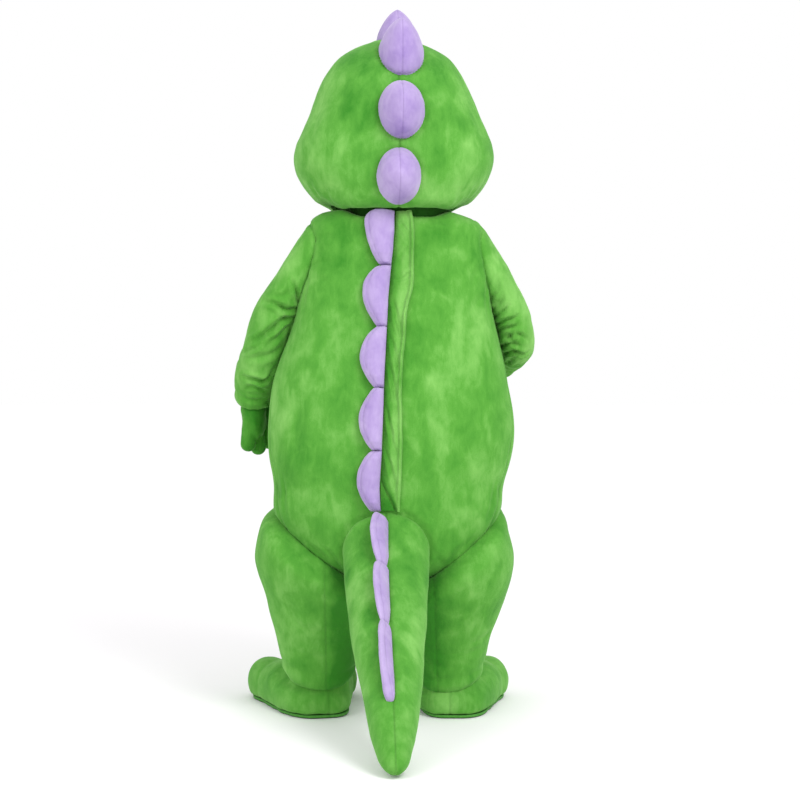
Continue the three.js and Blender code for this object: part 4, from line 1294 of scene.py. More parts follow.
def body_move(p):
    """How far the body's cloth stands out or in at its points."""
    d = np.zeros(p.shape[:-1])
    for pts, dep, w in BODY_FOLDS:
        d += fold(p, pts, dep, w, warp=5)
    # soft unevenness of plush over wadding
    d += 2.0 * noise(p, 150, 1) + 1.3 * noise(p, 68, 2) + 0.5 * noise(p, 30, 3)
    for k in ("left", "right"):
        a = ARMHOLE[k].distance(p, 90)
        d += pinch(a, 1.7, 4.2) + puckers(p, a, 20, 1.3, 26, 5)
        g = LEGHOLE[k].distance(p, 90)
        d += pinch(g, 0.6, 4.5, 0.4) + puckers(p, g, 24, 1.4, 30, 6)
    t = TAILHOLE.distance(p, 60)
    d += pinch(t, 4.5, 8, 0.3) + puckers(p, t, 18, 1.2, 20, 7)
    s = side_seam(p)
    d += pinch(s, 2.6, 5) + puckers(p, s, 16, 0.9, 12, 8)
    # drawn in to the collar
    top = np.maximum(1349 - p[..., 2], 0)
    d += -5.0 * np.exp(-top / 7) + puckers(p, top, 22, 2.0, 26, 9)
    # flat under the placket and the spikes
    x, z = p[..., 0], p[..., 2]
    left, right = placket_edges(np.clip(z, 560, 1340))
    under = (p[..., 1] < 0) & (z > 545)
    m = np.clip((x - (spine_x(z) - 95)) / 18, 0, 1) * np.clip((right + 16 - x) / 14, 0, 1) * under
    d = np.where(m > 0, d * (1 - m) + m * (np.minimum(d, 0) * 0.25 - 0.9), d)
    return d


body_d = body_move(body_out)
body_skin = body_out + body_n * body_d[..., None]
body_skin[0, :, 2] = np.minimum(body_skin[0, :, 2], 1349)
body_lift = neck_lift(body_out) * np.exp(-(1349 - body_out[..., 2]) / 24)
body_skin[..., 2] += body_lift
inner_rows = np.unique(np.concatenate([np.arange(0, BODY_ROWS, 4), [BODY_ROWS - 1]]))
body_in = body_out + body_n * (np.minimum(body_d, 0.5) - SUIT_WALL)[..., None]
body_in[..., 2] += body_lift
body_in = body_in[inner_rows]
body_in[0, :, 2] = body_skin[0, :, 2]
body_mesh = wall_mesh("body", body_skin, body_in, closed=True)


def solid_tube(name, grid, cap=None):
    v, q, t = ring_solid(grid, pole_end=cap)
    return fix_normals(make_mesh(name, v, q, t))


holes = [solid_tube("arm_" + k, tube(SLEEVES[k], 60, 48, SUIT_WALL)[0]) for k in ("left", "right")]
body_mesh = boolean(body_mesh, holes)
for name in ("left", "right"):
    z0, sx, sy = LEG_PLANE[name]
    body_mesh = keep_side(body_mesh, (-sx, -sy, 1), (0, 0, z0))
body_mesh = largest_part(body_mesh)
seam_n, seam_p = (0, -1, SIDE["slope"]), (0, SIDE["y0"], SIDE["z0"])
front = keep_side(body_mesh, tuple(-c for c in seam_n), seam_p, 0.1)
back = keep_side(body_mesh, seam_n, seam_p, 0.1)
body_seams = [
    (ARMHOLE["left"], 2.2, 0.55),
    (ARMHOLE["right"], 2.2, 0.55),
    (LEGHOLE["left"], 2.0, 0.12),
    (LEGHOLE["right"], 2.0, 0.1),
    (TAILHOLE, 3.0, 0.8),
    (side_seam, 2.6, 0.6),
]
for name, me in (
    ("body_front_left", keep_side(front, (-1, 0, 0), (-2, 0, 900), 0.1)),
    ("body_front_right", keep_side(front, (1, 0, 0), (-2, 0, 900), 0.1)),
    ("body_back_left", keep_side(back, (-1, 0, 0), (-14, 0, 900), 0.1)),
    ("body_back_right", keep_side(back, (1, 0, 0), (-14, 0, 900), 0.1)),
):
    me = largest_part(me)
    paint_seam_shade_and_nap(me, body_seams, 3.2, 0.8)
    o = piece(name, me, GREEN)
    sheet(o, 0.5 if "front" in name else 0.42, 1.12)

# ================================================================ collar
COLLAR = table(
    "z cx rx back front n",
    [
        [1349.3, 10, 148, 110, 116, 2.1],
        [1358, 9, 149, 111, 116, 2.1],
        [1374, 7, 147, 110, 114, 2.1],
        [1392, 3, 150, 114, 114, 2.1],
    ],
)
a = np.arange(1440) / 1440 * TAU
collar = np.empty((30, 300, 3))
for k, s in enumerate(np.linspace(0, 3, 30)):
    r = at(COLLAR, s)
    x, y = even_ring(*oval(r["rx"], r["back"], r["front"], r["n"], a), 300)
    collar[k] = np.stack([r["cx"] + x, y, np.full(300, r["z"])], -1)
cn = grid_normals(collar)
low = collar[..., 2] - 1349.3
# gathered into the neck edge, which it follows
cd = -9.0 * np.exp(-low / 14) + (1 - np.exp(-low / 8)) * (4.4 * noise(collar * [1, 1, 0.3], 12, 11) + 1.6 * noise(collar, 34, 12)) - 2.5 * bell(42 - low, 6)
collar[..., 2] += (neck_lift(collar) - 9) * np.exp(-low / 24)
top = collar + cn * cd[..., None]
o = piece(
    "collar",
    wall_mesh("collar", top, (collar + cn * (cd - SUIT_WALL)[..., None])[::2] if len(collar) % 2 else (collar + cn * (cd - SUIT_WALL)[..., None])),
    GREEN,
)
# painted shade: the collar, under the head, is darkened all over
paint_seam_shade_and_nap(o.data, [(lambda p: 0 * p[..., 0], 1.0, 1.5)], nap=-1.8)
sheet(o, 0.86, 0.045)

# ================================================================ sleeves


def tube_line(grid, rows_s, pts):
    """Points on a tube's surface by row number and angle in degrees."""
    out = []
    cols = grid.shape[1]
    for s, ang in pts:
        i = int(np.clip(np.searchsorted(rows_s, s), 0, len(grid) - 1))
        out.append(grid[i, int(round(ang / 360 * cols)) % cols].tolist())
    return out


def seen(grid, pts):
    """Points of a grid where the photograph shows them, on the side that faces the camera."""
    flat = grid.reshape(-1, 3)
    k = 1703.7 / (4600 + flat[:, 1])
    sx, sy = 400 + (flat[:, 0] - 13.5) * k, 370 - (flat[:, 2] - 924.5) * k
    out = []
    for x, y in pts:
        d = np.hypot(sx - x, sy - y)
        near = np.flatnonzero(d < d.min() + 1.5)
        out.append(flat[near[np.argmin(flat[near, 1])]].tolist())
    return out


# Creases that the photograph shows in the sleeves: x, y there, depth and width (mm).
SLEEVE_SEEN = {
    "left": [
        (((300, 307), (297, 295), (291, 281)), 4.5, 5),
        (((299, 308), (288, 311), (276, 305), (262, 301)), 6.5, 6),
        (((297, 314), (286, 320), (275, 329), (260, 338), (244, 348)), 7.0, 6.5),
        (((291, 325), (280, 337), (268, 344)), 3.0, 6),
        (((241, 352), (252, 349), (264, 343)), 4.0, 5),
        (((290, 292), (280, 297), (268, 297)), 3.0, 7),
        (((284, 346), (274, 355), (262, 359), (248, 358)), 3.5, 7),
        (((241, 377), (250, 380), (265, 382), (277, 375)), 6.0, 5.5),
        (((262, 384), (270, 378), (278, 366)), 3.5, 5),
        (((245, 391), (255, 388), (268, 393)), 3.5, 5),
        (((244, 400), (256, 402), (269, 399)), 2.4, 5),
    ],
    "right": [
        (((489, 302), (496, 292), (500, 278)), 4.0, 6),
        (((491, 312), (499, 303), (504, 288)), 3.5, 6),
        (((493, 320), (503, 312), (511, 304)), 4.5, 5),
        (((494, 326), (507, 322), (521, 316)), 6.0, 5),
        (((495, 332), (506, 328), (520, 326)), 5.0, 4.5),
        (((496, 341), (508, 337), (520, 336), (529, 341)), 6.5, 5),
        (((508, 338), (514, 344), (520, 347)), 3.0, 4.5),
        (((499, 347), (508, 344), (517, 346)), 4.5, 4.5),
        (((503, 355), (513, 353), (524, 356), (530, 352)), 6.0, 5),
        (((506, 364), (513, 359), (519, 358)), 3.5, 5),
    ],
}
# Creases on the sides that it hides, by row number along the arm and angle round it.
SLEEVE_FOLDS = {
    "left": [
        ([(3.6, 170), (3.7, 140), (3.4, 110)], 5.0, 8),
        ([(4.4, 165), (4.3, 130), (4.5, 95)], 5.5, 8),
        ([(5.4, 165), (5.5, 125), (5.3, 85)], 5.5, 8),
        ([(6.3, 160), (6.2, 120), (6.4, 80), (6.2, 50)], 5.0, 8),
        ([(7.2, 165), (7.3, 120), (7.1, 70)], 4.0, 8),
        ([(5.0, 60), (5.15, 30), (5.0, 0)], 3.0, 8),
        ([(6.6, 40), (6.5, 10), (6.7, -20)], 3.0, 8),
    ],
    "right": [
        ([(3.6, 195), (3.5, 225), (3.8, 255)], 5.0, 8),
        ([(4.6, 200), (4.7, 235), (4.5, 270)], 6.0, 8),
        ([(5.4, 200), (5.3, 240), (5.5, 280)], 6.0, 8),
        ([(6.4, 200), (6.5, 240), (6.3, 285)], 5.0, 8),
        ([(7.0, 210), (7.2, 250), (7.0, 290)], 4.5, 8),
        ([(6.5, 165), (6.6, 120), (6.4, 80)], 4.5, 7),
        ([(7.4, 160), (7.3, 110), (7.5, 60)], 4.0, 8),
        ([(8.4, 150), (8.5, 100), (8.3, 50)], 3.5, 8),
    ],
}
SLEEVE_SKIN = {}
for name in ("left", "right"):
    g, rs = sleeve_tube[name], sleeve_rows[name]
    base = from_exit(g, sleeve_start[name] - 4.0, 198)
    n = grid_normals(base)
    d = np.zeros(base.shape[:2])
    for pts, dep, w in SLEEVE_FOLDS[name]:
        d += fold(base, tube_line(g, rs, pts), dep, w, ridge=0.55, warp=4)
    for pts, dep, w in SLEEVE_SEEN[name]:
        d += fold(base, seen(base, pts), dep * 1.6, w * 1.15, ridge=0.55, warp=2)
    d += 1.5 * noise(base, 70, 21) + 1.0 * noise(base * [1, 1, 1.5], 32, 22) + 0.3 * noise(base, 15, 23)
    a = ARMHOLE[name].distance(base, 90)
    d += pinch(a, 1.2, 4.2, 0.8) + puckers(base, a, 18, 1.8, 30, 24)
    # the hem is turned in and drawn together
    end = lengths(base.mean(1))
    end = end[-1] - end
    d += (-5.0 * np.exp(-end / 5) + 2.2 * bell(end - 16, 9) - 1.6 * bell(end - 30, 4))[:, None]
    d += np.exp(-end / 30)[:, None] * 1.8 * noise(base, 15, 25)
    skin = base + n * d[..., None]
    SLEEVE_SKIN[name] = skin
    o = piece("sleeve_" + name, wall_mesh("sleeve", skin, (base + n * (d - SUIT_WALL)[..., None])[::2][: (230 + 1) // 2]), GREEN)
    paint_seam_shade_and_nap(o.data, [(ARMHOLE[name], 2.2, 0.55)], nap=0.1 if name == "left" else 0.3)
    sheet(o, 0.42, 0.52)

# ================================================================ gloves
for name in ("left", "right"):
    pg, _ = tube(PALMS[name], 40, 48)
    parts = [solid_tube("palm", pg)]
    for x0, y0, z0, x1, y1, z1, r in FINGERS[name]:
        p0, p1 = np.array([x0, y0, z0], float), np.array([x1, y1, z1], float)
        t = np.linspace(0, 1, 15)
        axis = unit(p1 - p0)
        side = unit(np.cross(axis, [0.3, 0.9, 0.1]))
        other = np.cross(axis, side)
        ang = np.arange(32) / 32 * TAU
        rings = []
        length = np.linalg.norm(p1 - p0)
        for v in np.sin(np.linspace(-np.pi / 2, np.pi / 2, 26)):
            # a capsule, a little fuller at its tip
            h = (v + 1) / 2 * (length + 2 * r) - r
            over = max(0.0, -h, h - length)
            rad = r * math.sqrt(max(1 - (over / r) ** 2, 1e-4)) * (0.93 + 0.07 * (v + 1) / 2)
            rings.append(p0 + axis * h + np.outer(np.cos(ang) * rad, side) + np.outer(np.sin(ang) * rad, other))
        parts.append(solid_tube("finger", np.array(rings)))
    hand = remeshed(joined(parts), 3.2, 5)
    c = coords(hand)
    hn = np.empty(len(hand.vertices) * 3, np.float32)
    hand.vertices.foreach_get("normal", hn)
    hn = hn.reshape(-1, 3).astype(float)
    wrist = PALMS[name]
    w0 = np.array([wrist[k][0] for k in "xyz"])
    w1 = np.array([wrist[k][1] for k in "xyz"])
    axis = unit(w1 - w0)
    along = (c - w0) @ axis
    d = 0.9 * noise(c, 24, 31) + 0.6 * noise(c, 11, 32) - 1.6 * bell(along - 34, 7) + 1.2 * bell(along - 48, 9)
    set_coords(hand, c + hn * d[:, None])
    # hollow, open at the wrist
    c = coords(hand)
    hand.vertices.foreach_get("normal", np.zeros(len(hand.vertices) * 3, np.float32))
    bm = bmesh.new()
    bm.from_mesh(hand)
    origin = Vector(((w0 - np.array([0, 0, FLOOR])) / 1000 + axis * 0.002).tolist())
    bmesh.ops.bisect_plane(bm, geom=bm.verts[:] + bm.edges[:] + bm.faces[:], plane_co=origin, plane_no=Vector(axis.tolist()), clear_inner=True)
    bm.to_mesh(hand)
    bm.free()
    o = temp(hand)
    m = o.modifiers.new("wall", "SOLIDIFY")
    m.thickness, m.offset, m.use_even_offset = GLOVE_WALL / 1000, -1, False
    hollow = evaluated(o)
    bpy.data.objects.remove(o)
    # painted shade: the glove is darkened all over
    paint_seam_shade_and_nap(hollow, [], 1, 0, nap=-0.8)
    o = piece("glove_" + name, hollow, GREEN)
    sheet(o, 0.24, 0.27)

# ================================================================ legs
LEG_FOLDS = {
    "left": [
        (((-160, 250), (-212, 236), (-262, 262)), 4.2, 9),
        (((-120, 214), (-180, 204), (-240, 214)), 3.2, 9),
        (((-136, 176), (-190, 168), (-262, 182)), 3.0, 8),
        (((-118, 330), (-140, 300), (-150, 262)), 3.2, 12),
        (((-292, 330), (-270, 290), (-266, 250)), 3.0, 12),
        (((-150, 388), (-190, 402), (-236, 440)), 3.0, 12),
    ],
    "right": [
        (((262, 232), (230, 210), (196, 206)), 4.2, 8),
        (((248, 200), (214, 178), (170, 172)), 3.8, 8),
        (((74, 196), (120, 176), (168, 180)), 3.0, 9),
        (((62, 150), (110, 138), (160, 140)), 2.6, 8),
        (((92, 330), (104, 296), (106, 260)), 3.0, 12),
        (((240, 320), (224, 282), (214, 240)), 3.0, 12),
    ],
}
leg_filled = []
LEG_SKIN = {}
for name in ("left", "right"):
    cols, rows = 196, 120
    hole = leg_hole(name, cols) - [0, 0, GAP / 2]
    first = leg_ring(name, 0, cols)
    swell = hole + (first - hole) * [0.66, 0.66, 0.38]
    controls = [hole, swell] + [leg_ring(name, s, cols) for s in (0, 1, 2, 3, 4, 5, 6, 7)]
    base = loft(controls, rows)
    n = grid_normals(base)
    leg_filled.append(solid_tube("legfill_" + name, base[::4]))
    d = 1.8 * noise(base, 120, 41) + 0.9 * noise(base, 55, 42) + 0.3 * noise(base, 24, 43)
    # creases on the back, and the same on the front and the sides
    cx, cy = np.mean(base[rows // 2], 0)[:2]
    for line, dep, w in LEG_FOLDS[name]:
        for facing in (-1, 1):
            pts = []
            for x, z in line:
                if facing > 0:
                    x, z = 2 * cx - x, z + 14
                k = np.argmin(np.abs(base[..., 0] - x) + np.abs(base[..., 2] - z) + 1e3 * ((base[..., 1] - cy) * facing < 0))
                pts.append(base.reshape(-1, 3)[k].tolist())
            d += fold(base, pts, dep * 0.55, w * 1.2, warp=5)
    g = LEGHOLE[name].distance(base, 90)
    d += pinch(g, 0.4, 4.5, 0.8) + puckers(base, g, 24, 1.3, 26, 44)
    seam_x, lean = LEG_SEAM[name]
    gap = np.abs(base[..., 0] - seam_x - lean * (base[..., 2] - 400)) / math.hypot(1, lean)
    d += pinch(gap, 1.1, 4.0, 0.4) + puckers(base, gap, 18, 0.4, 14, 45)
    # the hem rests on the foot cover
    end = lengths(base.mean(1))
    end = end[-1] - end
    d += (-6.0 * np.exp(-end / 5) + 3.0 * bell(end - 17, 11) - 1.8 * bell(end - 36, 7))[:, None]
    d += np.exp(-end / 34)[:, None] * 2.4 * noise(base, 26, 46)
    skin = base + n * d[..., None]
    LEG_SKIN[name] = skin
    inner = (base + n * (d - SUIT_WALL)[..., None])[::3]
    inner = np.concatenate([inner, (base + n * (d - SUIT_WALL)[..., None])[-1:]]) if (rows - 1) % 3 else inner
    leg = wall_mesh("leg_" + name, skin, inner)
    z0, sx, sy = LEG_PLANE[name]
    leg = keep_side(leg, (sx, sy, -1), (0, 0, z0), GAP / 2)
    q, m = (1, 0, -lean), (seam_x, 0, 400)
    right_half = largest_part(keep_side(leg, q, m, 0.1))
    left_half = largest_part(keep_side(leg, tuple(-v for v in q), m, 0.1))

    def leg_seam(p, seam_x=seam_x, lean=lean):
        return np.abs(p[..., 0] - seam_x - lean * (p[..., 2] - 400))

    def inner_leg_shade(p, seam_x=seam_x, lean=lean, name=name):
        # painted shade: darker on the inner side, towards the tail, between the legs
        gone = p[..., 0] - seam_x - lean * (p[..., 2] - 400)
        t = np.clip((gone + 22) / 70 if name == "left" else (52 - gone) / 76, 0, 1)
        return -1.1 * t * t * (3 - 2 * t)

    for part, me in (("outer", left_half if name == "left" else right_half), ("inner", right_half if name == "left" else left_half)):
        paint_seam_shade_and_nap(me, [(LEGHOLE[name], 2.0, 0.1), (leg_seam, 2.0, 0.3)], nap=inner_leg_shade)
        o = piece(f"leg_{name}_{part}", me, GREEN)
        sheet(o, 0.55 if part == "outer" else 0.5, 0.42)

# ================================================================ foot covers


def foot_frame(name):
    fx, fy, turn = FOOT[name]
    a, out = math.radians(turn), (-1 if name == "left" else 1)
    forward = np.array([-math.sin(a), math.cos(a), 0])
    across = np.array([out * math.cos(a), out * math.sin(a), 0])
    base = np.array([fx, fy, 0.0])

    def place(sideways, along, z):
        sideways, along, z = np.broadcast_arrays(np.asarray(sideways, float), np.asarray(along, float), np.asarray(z, float))
        return base + sideways[..., None] * across + along[..., None] * forward + z[..., None] * np.array([0, 0, 1.0])

    def local(p):
        q = p - base
        return np.stack([q @ across, q @ forward, q[..., 2]], -1)

    return place, local


def foot_solid(name, shrink, cols=56, rows=60):
    place, _ = foot_frame(name)
    a = np.arange(cols) / cols * TAU
    under = np.sin(a) < 0
    c = signed_power(np.cos(a), 1) * 0 + np.sign(np.cos(a)) * np.abs(np.cos(a)) ** np.where(under, 0.14, 0.8)
    s = np.sign(np.sin(a)) * np.abs(np.sin(a)) ** np.where(under, 0.5, 0.8)
    rings = []
    for t in np.linspace(0, len(FOOT_SECTIONS["along"]) - 1, rows):
        r = {k: float(v) for k, v in at(FOOT_SECTIONS, t).items()}
        wide = np.maximum(np.where(c > 0, r["outer"], r["inner"]) - shrink, 4)
        low, high = r["lift"] + shrink, r["high"] - shrink
        mid = low + (high - low) * 0.36
        ends = shrink * (1 - 2 * t / (len(FOOT_SECTIONS["along"]) - 1))
        rings.append(place(wide * c, r["along"] + ends, np.where(s > 0, mid + (high - mid) * s, mid + (mid - low) * s)))
    return solid_tube("foot", np.array(rings))


def toe_solid(name, toe, shrink=0.0):
    place, _ = foot_frame(name)
    side, along, rs, rl, high = toe
    a = np.arange(48) / 48 * TAU
    rings = []
    for lat in np.radians(np.linspace(-88, 88, 40)):
        c, s = math.cos(lat), math.sin(lat)
        z = SOLE_THICK + shrink + (1 + s) * (high * 0.42 - SOLE_THICK - shrink) if s < 0 else high * 0.42 + s * (high * 0.58 - shrink)
        flat = c**0.2 if s < 0 else c**0.9
        rings.append(place(side + (rs - shrink) * flat * np.cos(a), along + (rl - shrink) * flat * np.sin(a), z))
    return solid_tube("toe", np.array(rings))


def ankle_solid(name, shrink, top, low=40.0):
    place, _ = foot_frame(name)
    a = np.arange(64) / 64 * TAU
    return solid_tube(
        "ankle",
        np.array([place((ANKLE["across"] - shrink) * np.cos(a), (ANKLE["along"] - shrink) * np.sin(a), z) for z in np.linspace(low, top, 12)]),
    )


for name in ("left", "right"):
    place, local = foot_frame(name)
    upper = remeshed(joined([foot_solid(name, 0)] + [toe_solid(name, t) for t in TOES] + [ankle_solid(name, 0, ANKLE["top"])]), 4.8, 6)
    c = coords(upper)
    n = np.empty(len(c) * 3, np.float32)
    upper.vertices.foreach_get("normal", n)
    n = n.reshape(-1, 3).astype(float)
    q = local(c)
    heel = np.where(q[:, 1] < 60, np.abs(q[:, 0] + (8 if name == "left" else -6)), 1e3)
    low = c[:, 2] < 104
    d = 1.6 * noise(c, 60, 51) + 1.0 * noise(c, 26, 52)
    d += np.where(low, pinch(heel, 1.4, 3.5, 0.4), 0)
    # drawn in to the sole's edge
    edge = np.abs(c[:, 2] - SOLE_THICK)
    d += -1.8 * bell(edge, 3.5) + np.exp(-edge / 14) * 0.8 * noise(c * [1, 1, 0.3], 15, 53)
    # the creases between the toes
    for x0 in ((52, 8), (-42, -6)):
        line = place(np.array([x0[0], x0[0] - 6, x0[0] - 14]), np.array([300, 200, 110]), np.array([60, 118, 128]))
        d += fold(c, line.tolist(), 5.0, 8, ridge=0.3, reach=60)
    upper_c = c + n * d[:, None]
    upper_c[:, 2] = np.maximum(upper_c[:, 2], SOLE_THICK)
    set_coords(upper, upper_c)
    leg_room = []
    for grow in (0,):
        g = LEG_SKIN[name][-44:]
        gn = grid_normals(g)
        below = (g[-1] - [0, 0, 0.8])[None]
        outer_g = np.concatenate([g + gn * 0.6, below + gn[-1:] * 0.6])
        inner_g = np.concatenate([g - gn * (SUIT_WALL + 0.6), below - gn[-1:] * (SUIT_WALL + 0.6)])
        leg_room.append(wall_mesh("room", outer_g, inner_g))
    upper = boolean(upper, [foot_solid(name, SHOE_WALL), ankle_solid(name, SHOE_WALL, ANKLE["top"] + 90)] + leg_room)
    upper = keep_side(upper, (0, 0, 1), (0, 0, SOLE_THICK))
    upper = largest_part(upper)

    def heel_seam(p, local=local, name=name):
        q = local(p)
        return np.where((q[..., 1] < 60) & (p[..., 2] < 104), np.abs(q[..., 0] + (8 if name == "left" else -6)), 1e3)

    def welt(p):
        return np.abs(p[..., 2] - SOLE_THICK)

    paint_seam_shade_and_nap(upper, [(heel_seam, 2.2, 0.35), (welt, 1.6, 0.5)], nap=0.1)
    o = piece(f"shoe_{name}_upper", upper, GREEN)
    # the sole: the foot's plan, a little inside it
    c = coords(upper)
    c = c[(c[:, 2] < 13)]
    mid = place(0, 70, 0)
    ang = np.arctan2(c[:, 1] - mid[1], c[:, 0] - mid[0])
    rad = np.hypot(c[:, 0] - mid[0], c[:, 1] - mid[1])
    cols = 144
    bins = ((ang / TAU * cols).astype(int)) % cols
    far = np.zeros(cols)
    np.maximum.at(far, bins, rad)
    for _ in range(3):
        far = np.maximum(far, 0)
        far = np.where(far < 20, (np.roll(far, 1) + np.roll(far, -1)) / 2, far)
    for _ in range(5):
        far = (np.roll(far, 1) + far * 2 + np.roll(far, -1)) / 4
    th = (np.arange(cols) + 0.5) / cols * TAU
    rings = []
    for z, grow in ((0, -3.6), (1.0, -1.4), (3.0, 0.0), (5.5, 0.4), (7.8, 0.1), (SOLE_THICK - GAP / 2, -1.0)):
        r = far + grow
        rings.append(np.stack([mid[0] + r * np.cos(th), mid[1] + r * np.sin(th), np.full(cols, z)], -1))
    o = piece(f"shoe_{name}_sole", solid_tube("sole", np.array(rings)), SOLE)

# ================================================================ tail
start = tail_start + 0.8
base = from_exit(tail_tube, start, 230)
n = grid_normals(base)
d = 1.8 * noise(base, 90, 61) + 1.2 * noise(base, 42, 62)
th = TAILHOLE.distance(base, 60)
d += pinch(th, 3.2, 8, 0.3) + puckers(base, th, 18, 1.4, 22, 63)
tail_a, tail_b = np.array([-22.0, -215.0]), np.array([4.0, -768.0])
tail_n = np.array([-(tail_b - tail_a)[1], (tail_b - tail_a)[0]])
tail_n = tail_n / np.linalg.norm(tail_n)
if tail_n[0] < 0:
    tail_n = -tail_n


def tail_seam(p):
    return np.abs((p[..., 0] - tail_a[0]) * tail_n[0] + (p[..., 1] - tail_a[1]) * tail_n[1])


ts = tail_seam(base)
end = lengths(base.mean(1))
end = end[-1] - end
k = np.clip(end / 60, 0.25, 1)[:, None]
d += k * (pinch(ts, 2.2, 4, 0.4) + puckers(base, ts, 15, 0.7, 12, 64))
d *= np.clip(end / 24, 0.15, 1)[:, None]
TAIL_SKIN = base + n * d[..., None]
tail_mesh = solid_tube("tail", np.concatenate([TAIL_SKIN, ]), cap=TAIL_TIP)
tail_mesh = boolean(tail_mesh, leg_filled)
for part, sign in (("left", -1), ("right", 1)):
    me = largest_part(keep_side(tail_mesh, (sign * tail_n[0], sign * tail_n[1], 0), (tail_a[0], tail_a[1], 400), 0.1))
    paint_seam_shade_and_nap(me, [(TAILHOLE, 2.4, 0.6), (tail_seam, 2.0, 0.45)])
    o = piece("tail_" + part, me, GREEN)


# ================================================================ stuffed spikes on back and tail
def rounded(t, peak, blunt):
    k = math.log(0.5) / math.log(peak)
    return np.maximum(np.sin(np.pi * np.clip(t, 0, 1) ** k), 0) ** blunt


def closing(d, over):
    """How full stuffed cloth is at a distance from the end of its seam."""
    return math.sqrt(max(1 - (1 - min(max(d, 0) / over, 1)) ** 2, 0))


def pad_mesh(name, rings, first, last):
    """Rings closed by a point at each end."""
    rows, cols = rings.shape[:2]
    v = np.concatenate([rings.reshape(-1, 3), np.array([first, last])])
    k = np.arange(rows - 1)[:, None] * cols
    j = np.arange(cols)[None, :]
    j2 = (j + 1) % cols
    q = np.stack([k + j, k + j2, k + cols + j2, k + cols + j], -1).reshape(-1, 4)
    a, b = len(v) - 2, len(v) - 1
    t = np.concatenate(
        [
            np.stack([j2[0], j[0], np.full(cols, a)], -1),
            np.stack([(rows - 1) * cols + j[0], (rows - 1) * cols + j2[0], np.full(cols, b)], -1),
        ]
    )
    return fix_normals(make_mesh(name, v, q, t))


ACROSS = 26
for i, (z_top, z_low, reach, peak, blunt) in enumerate(BACK_SPIKES):
    ts = np.sin(np.linspace(-np.pi / 2, np.pi / 2, 92)) * 0.5 + 0.5
    rings, rim_seam, rim_edge, spine_edge = [], [], [], []
    for t in ts[1:-1]:
        z = z_top + (z_low - z_top) * t
        round_ = float(rounded(t, peak, blunt))
        x1 = float(spine_x(z)) + 1
        wide = SPIKE_NECK + (reach - SPIKE_NECK) * round_
        v = 0.5 - 0.5 * np.cos(np.linspace(0, np.pi, ACROSS + 1))
        shut = closing(min(z_top - z, z - z_low), 7.0)
        # stuffed: full across, with a seam a finger's width inside its rim
        rise = 30.0 * min(1, 0.5 + round_) * np.sin(np.pi * (0.05 + 0.95 * v) ** 0.82) ** 0.5
        rise -= 3.0 * round_ * bell((1 - v) * wide - 12.5, 2.4)
        rear_out = 2.6 + 3.2 * v
        face = on_back(x1 - wide * v, np.full_like(v, z), rear_out + shut * (1.9 + 0.8 * v + rise))
        rear = on_back(x1 - wide * v[::-1][1:-1], np.full(ACROSS - 1, z), rear_out[::-1][1:-1])
        rings.append(np.concatenate([face, rear]))
        rim_seam.append([np.interp(1 - 12.5 / wide, v, face[:, k]) for k in range(3)])
        rim_edge.append(face[-4])
        spine_edge.append(face[0])
    rings = np.array(rings)
    n = grid_normals(rings)
    amount = 0.9 * noise(rings, 30, 70 + i) + 0.4 * noise(rings, 12, 75 + i)
    # drawn together where two spikes meet
    z = rings[..., 2]
    near = np.minimum(np.abs(z - z_top), np.abs(z - z_low))
    amount += np.exp(-near / 12) * 1.5 * noise(rings * [1, 1, 0.4], 8, 79)
    rings = rings + n * np.where(np.arange(rings.shape[1]) <= ACROSS, amount, 0)[..., None]
    ends = [on_back(float(spine_x(zz)) - 11, zz, 4.5).tolist() for zz in (z_top, z_low)]
    me = pad_mesh(f"back_spike_{i + 1}", rings, *ends)
    rim = Seam(rim_edge)

    def rim_light(p, rim=rim):
        return 0.55 * bell(rim.distance(p, 30), 8)

    # painted shade along each spike's spine edge, where it meets the back
    paint_seam_shade_and_nap(me, [(Seam(rim_seam[4:-4]), 1.3, 0.45), (Seam(spine_edge), 3.0, 0.5)], nap=rim_light)
    o = piece(f"back_spike_{i + 1}", me, LAVENDER, angle=60)

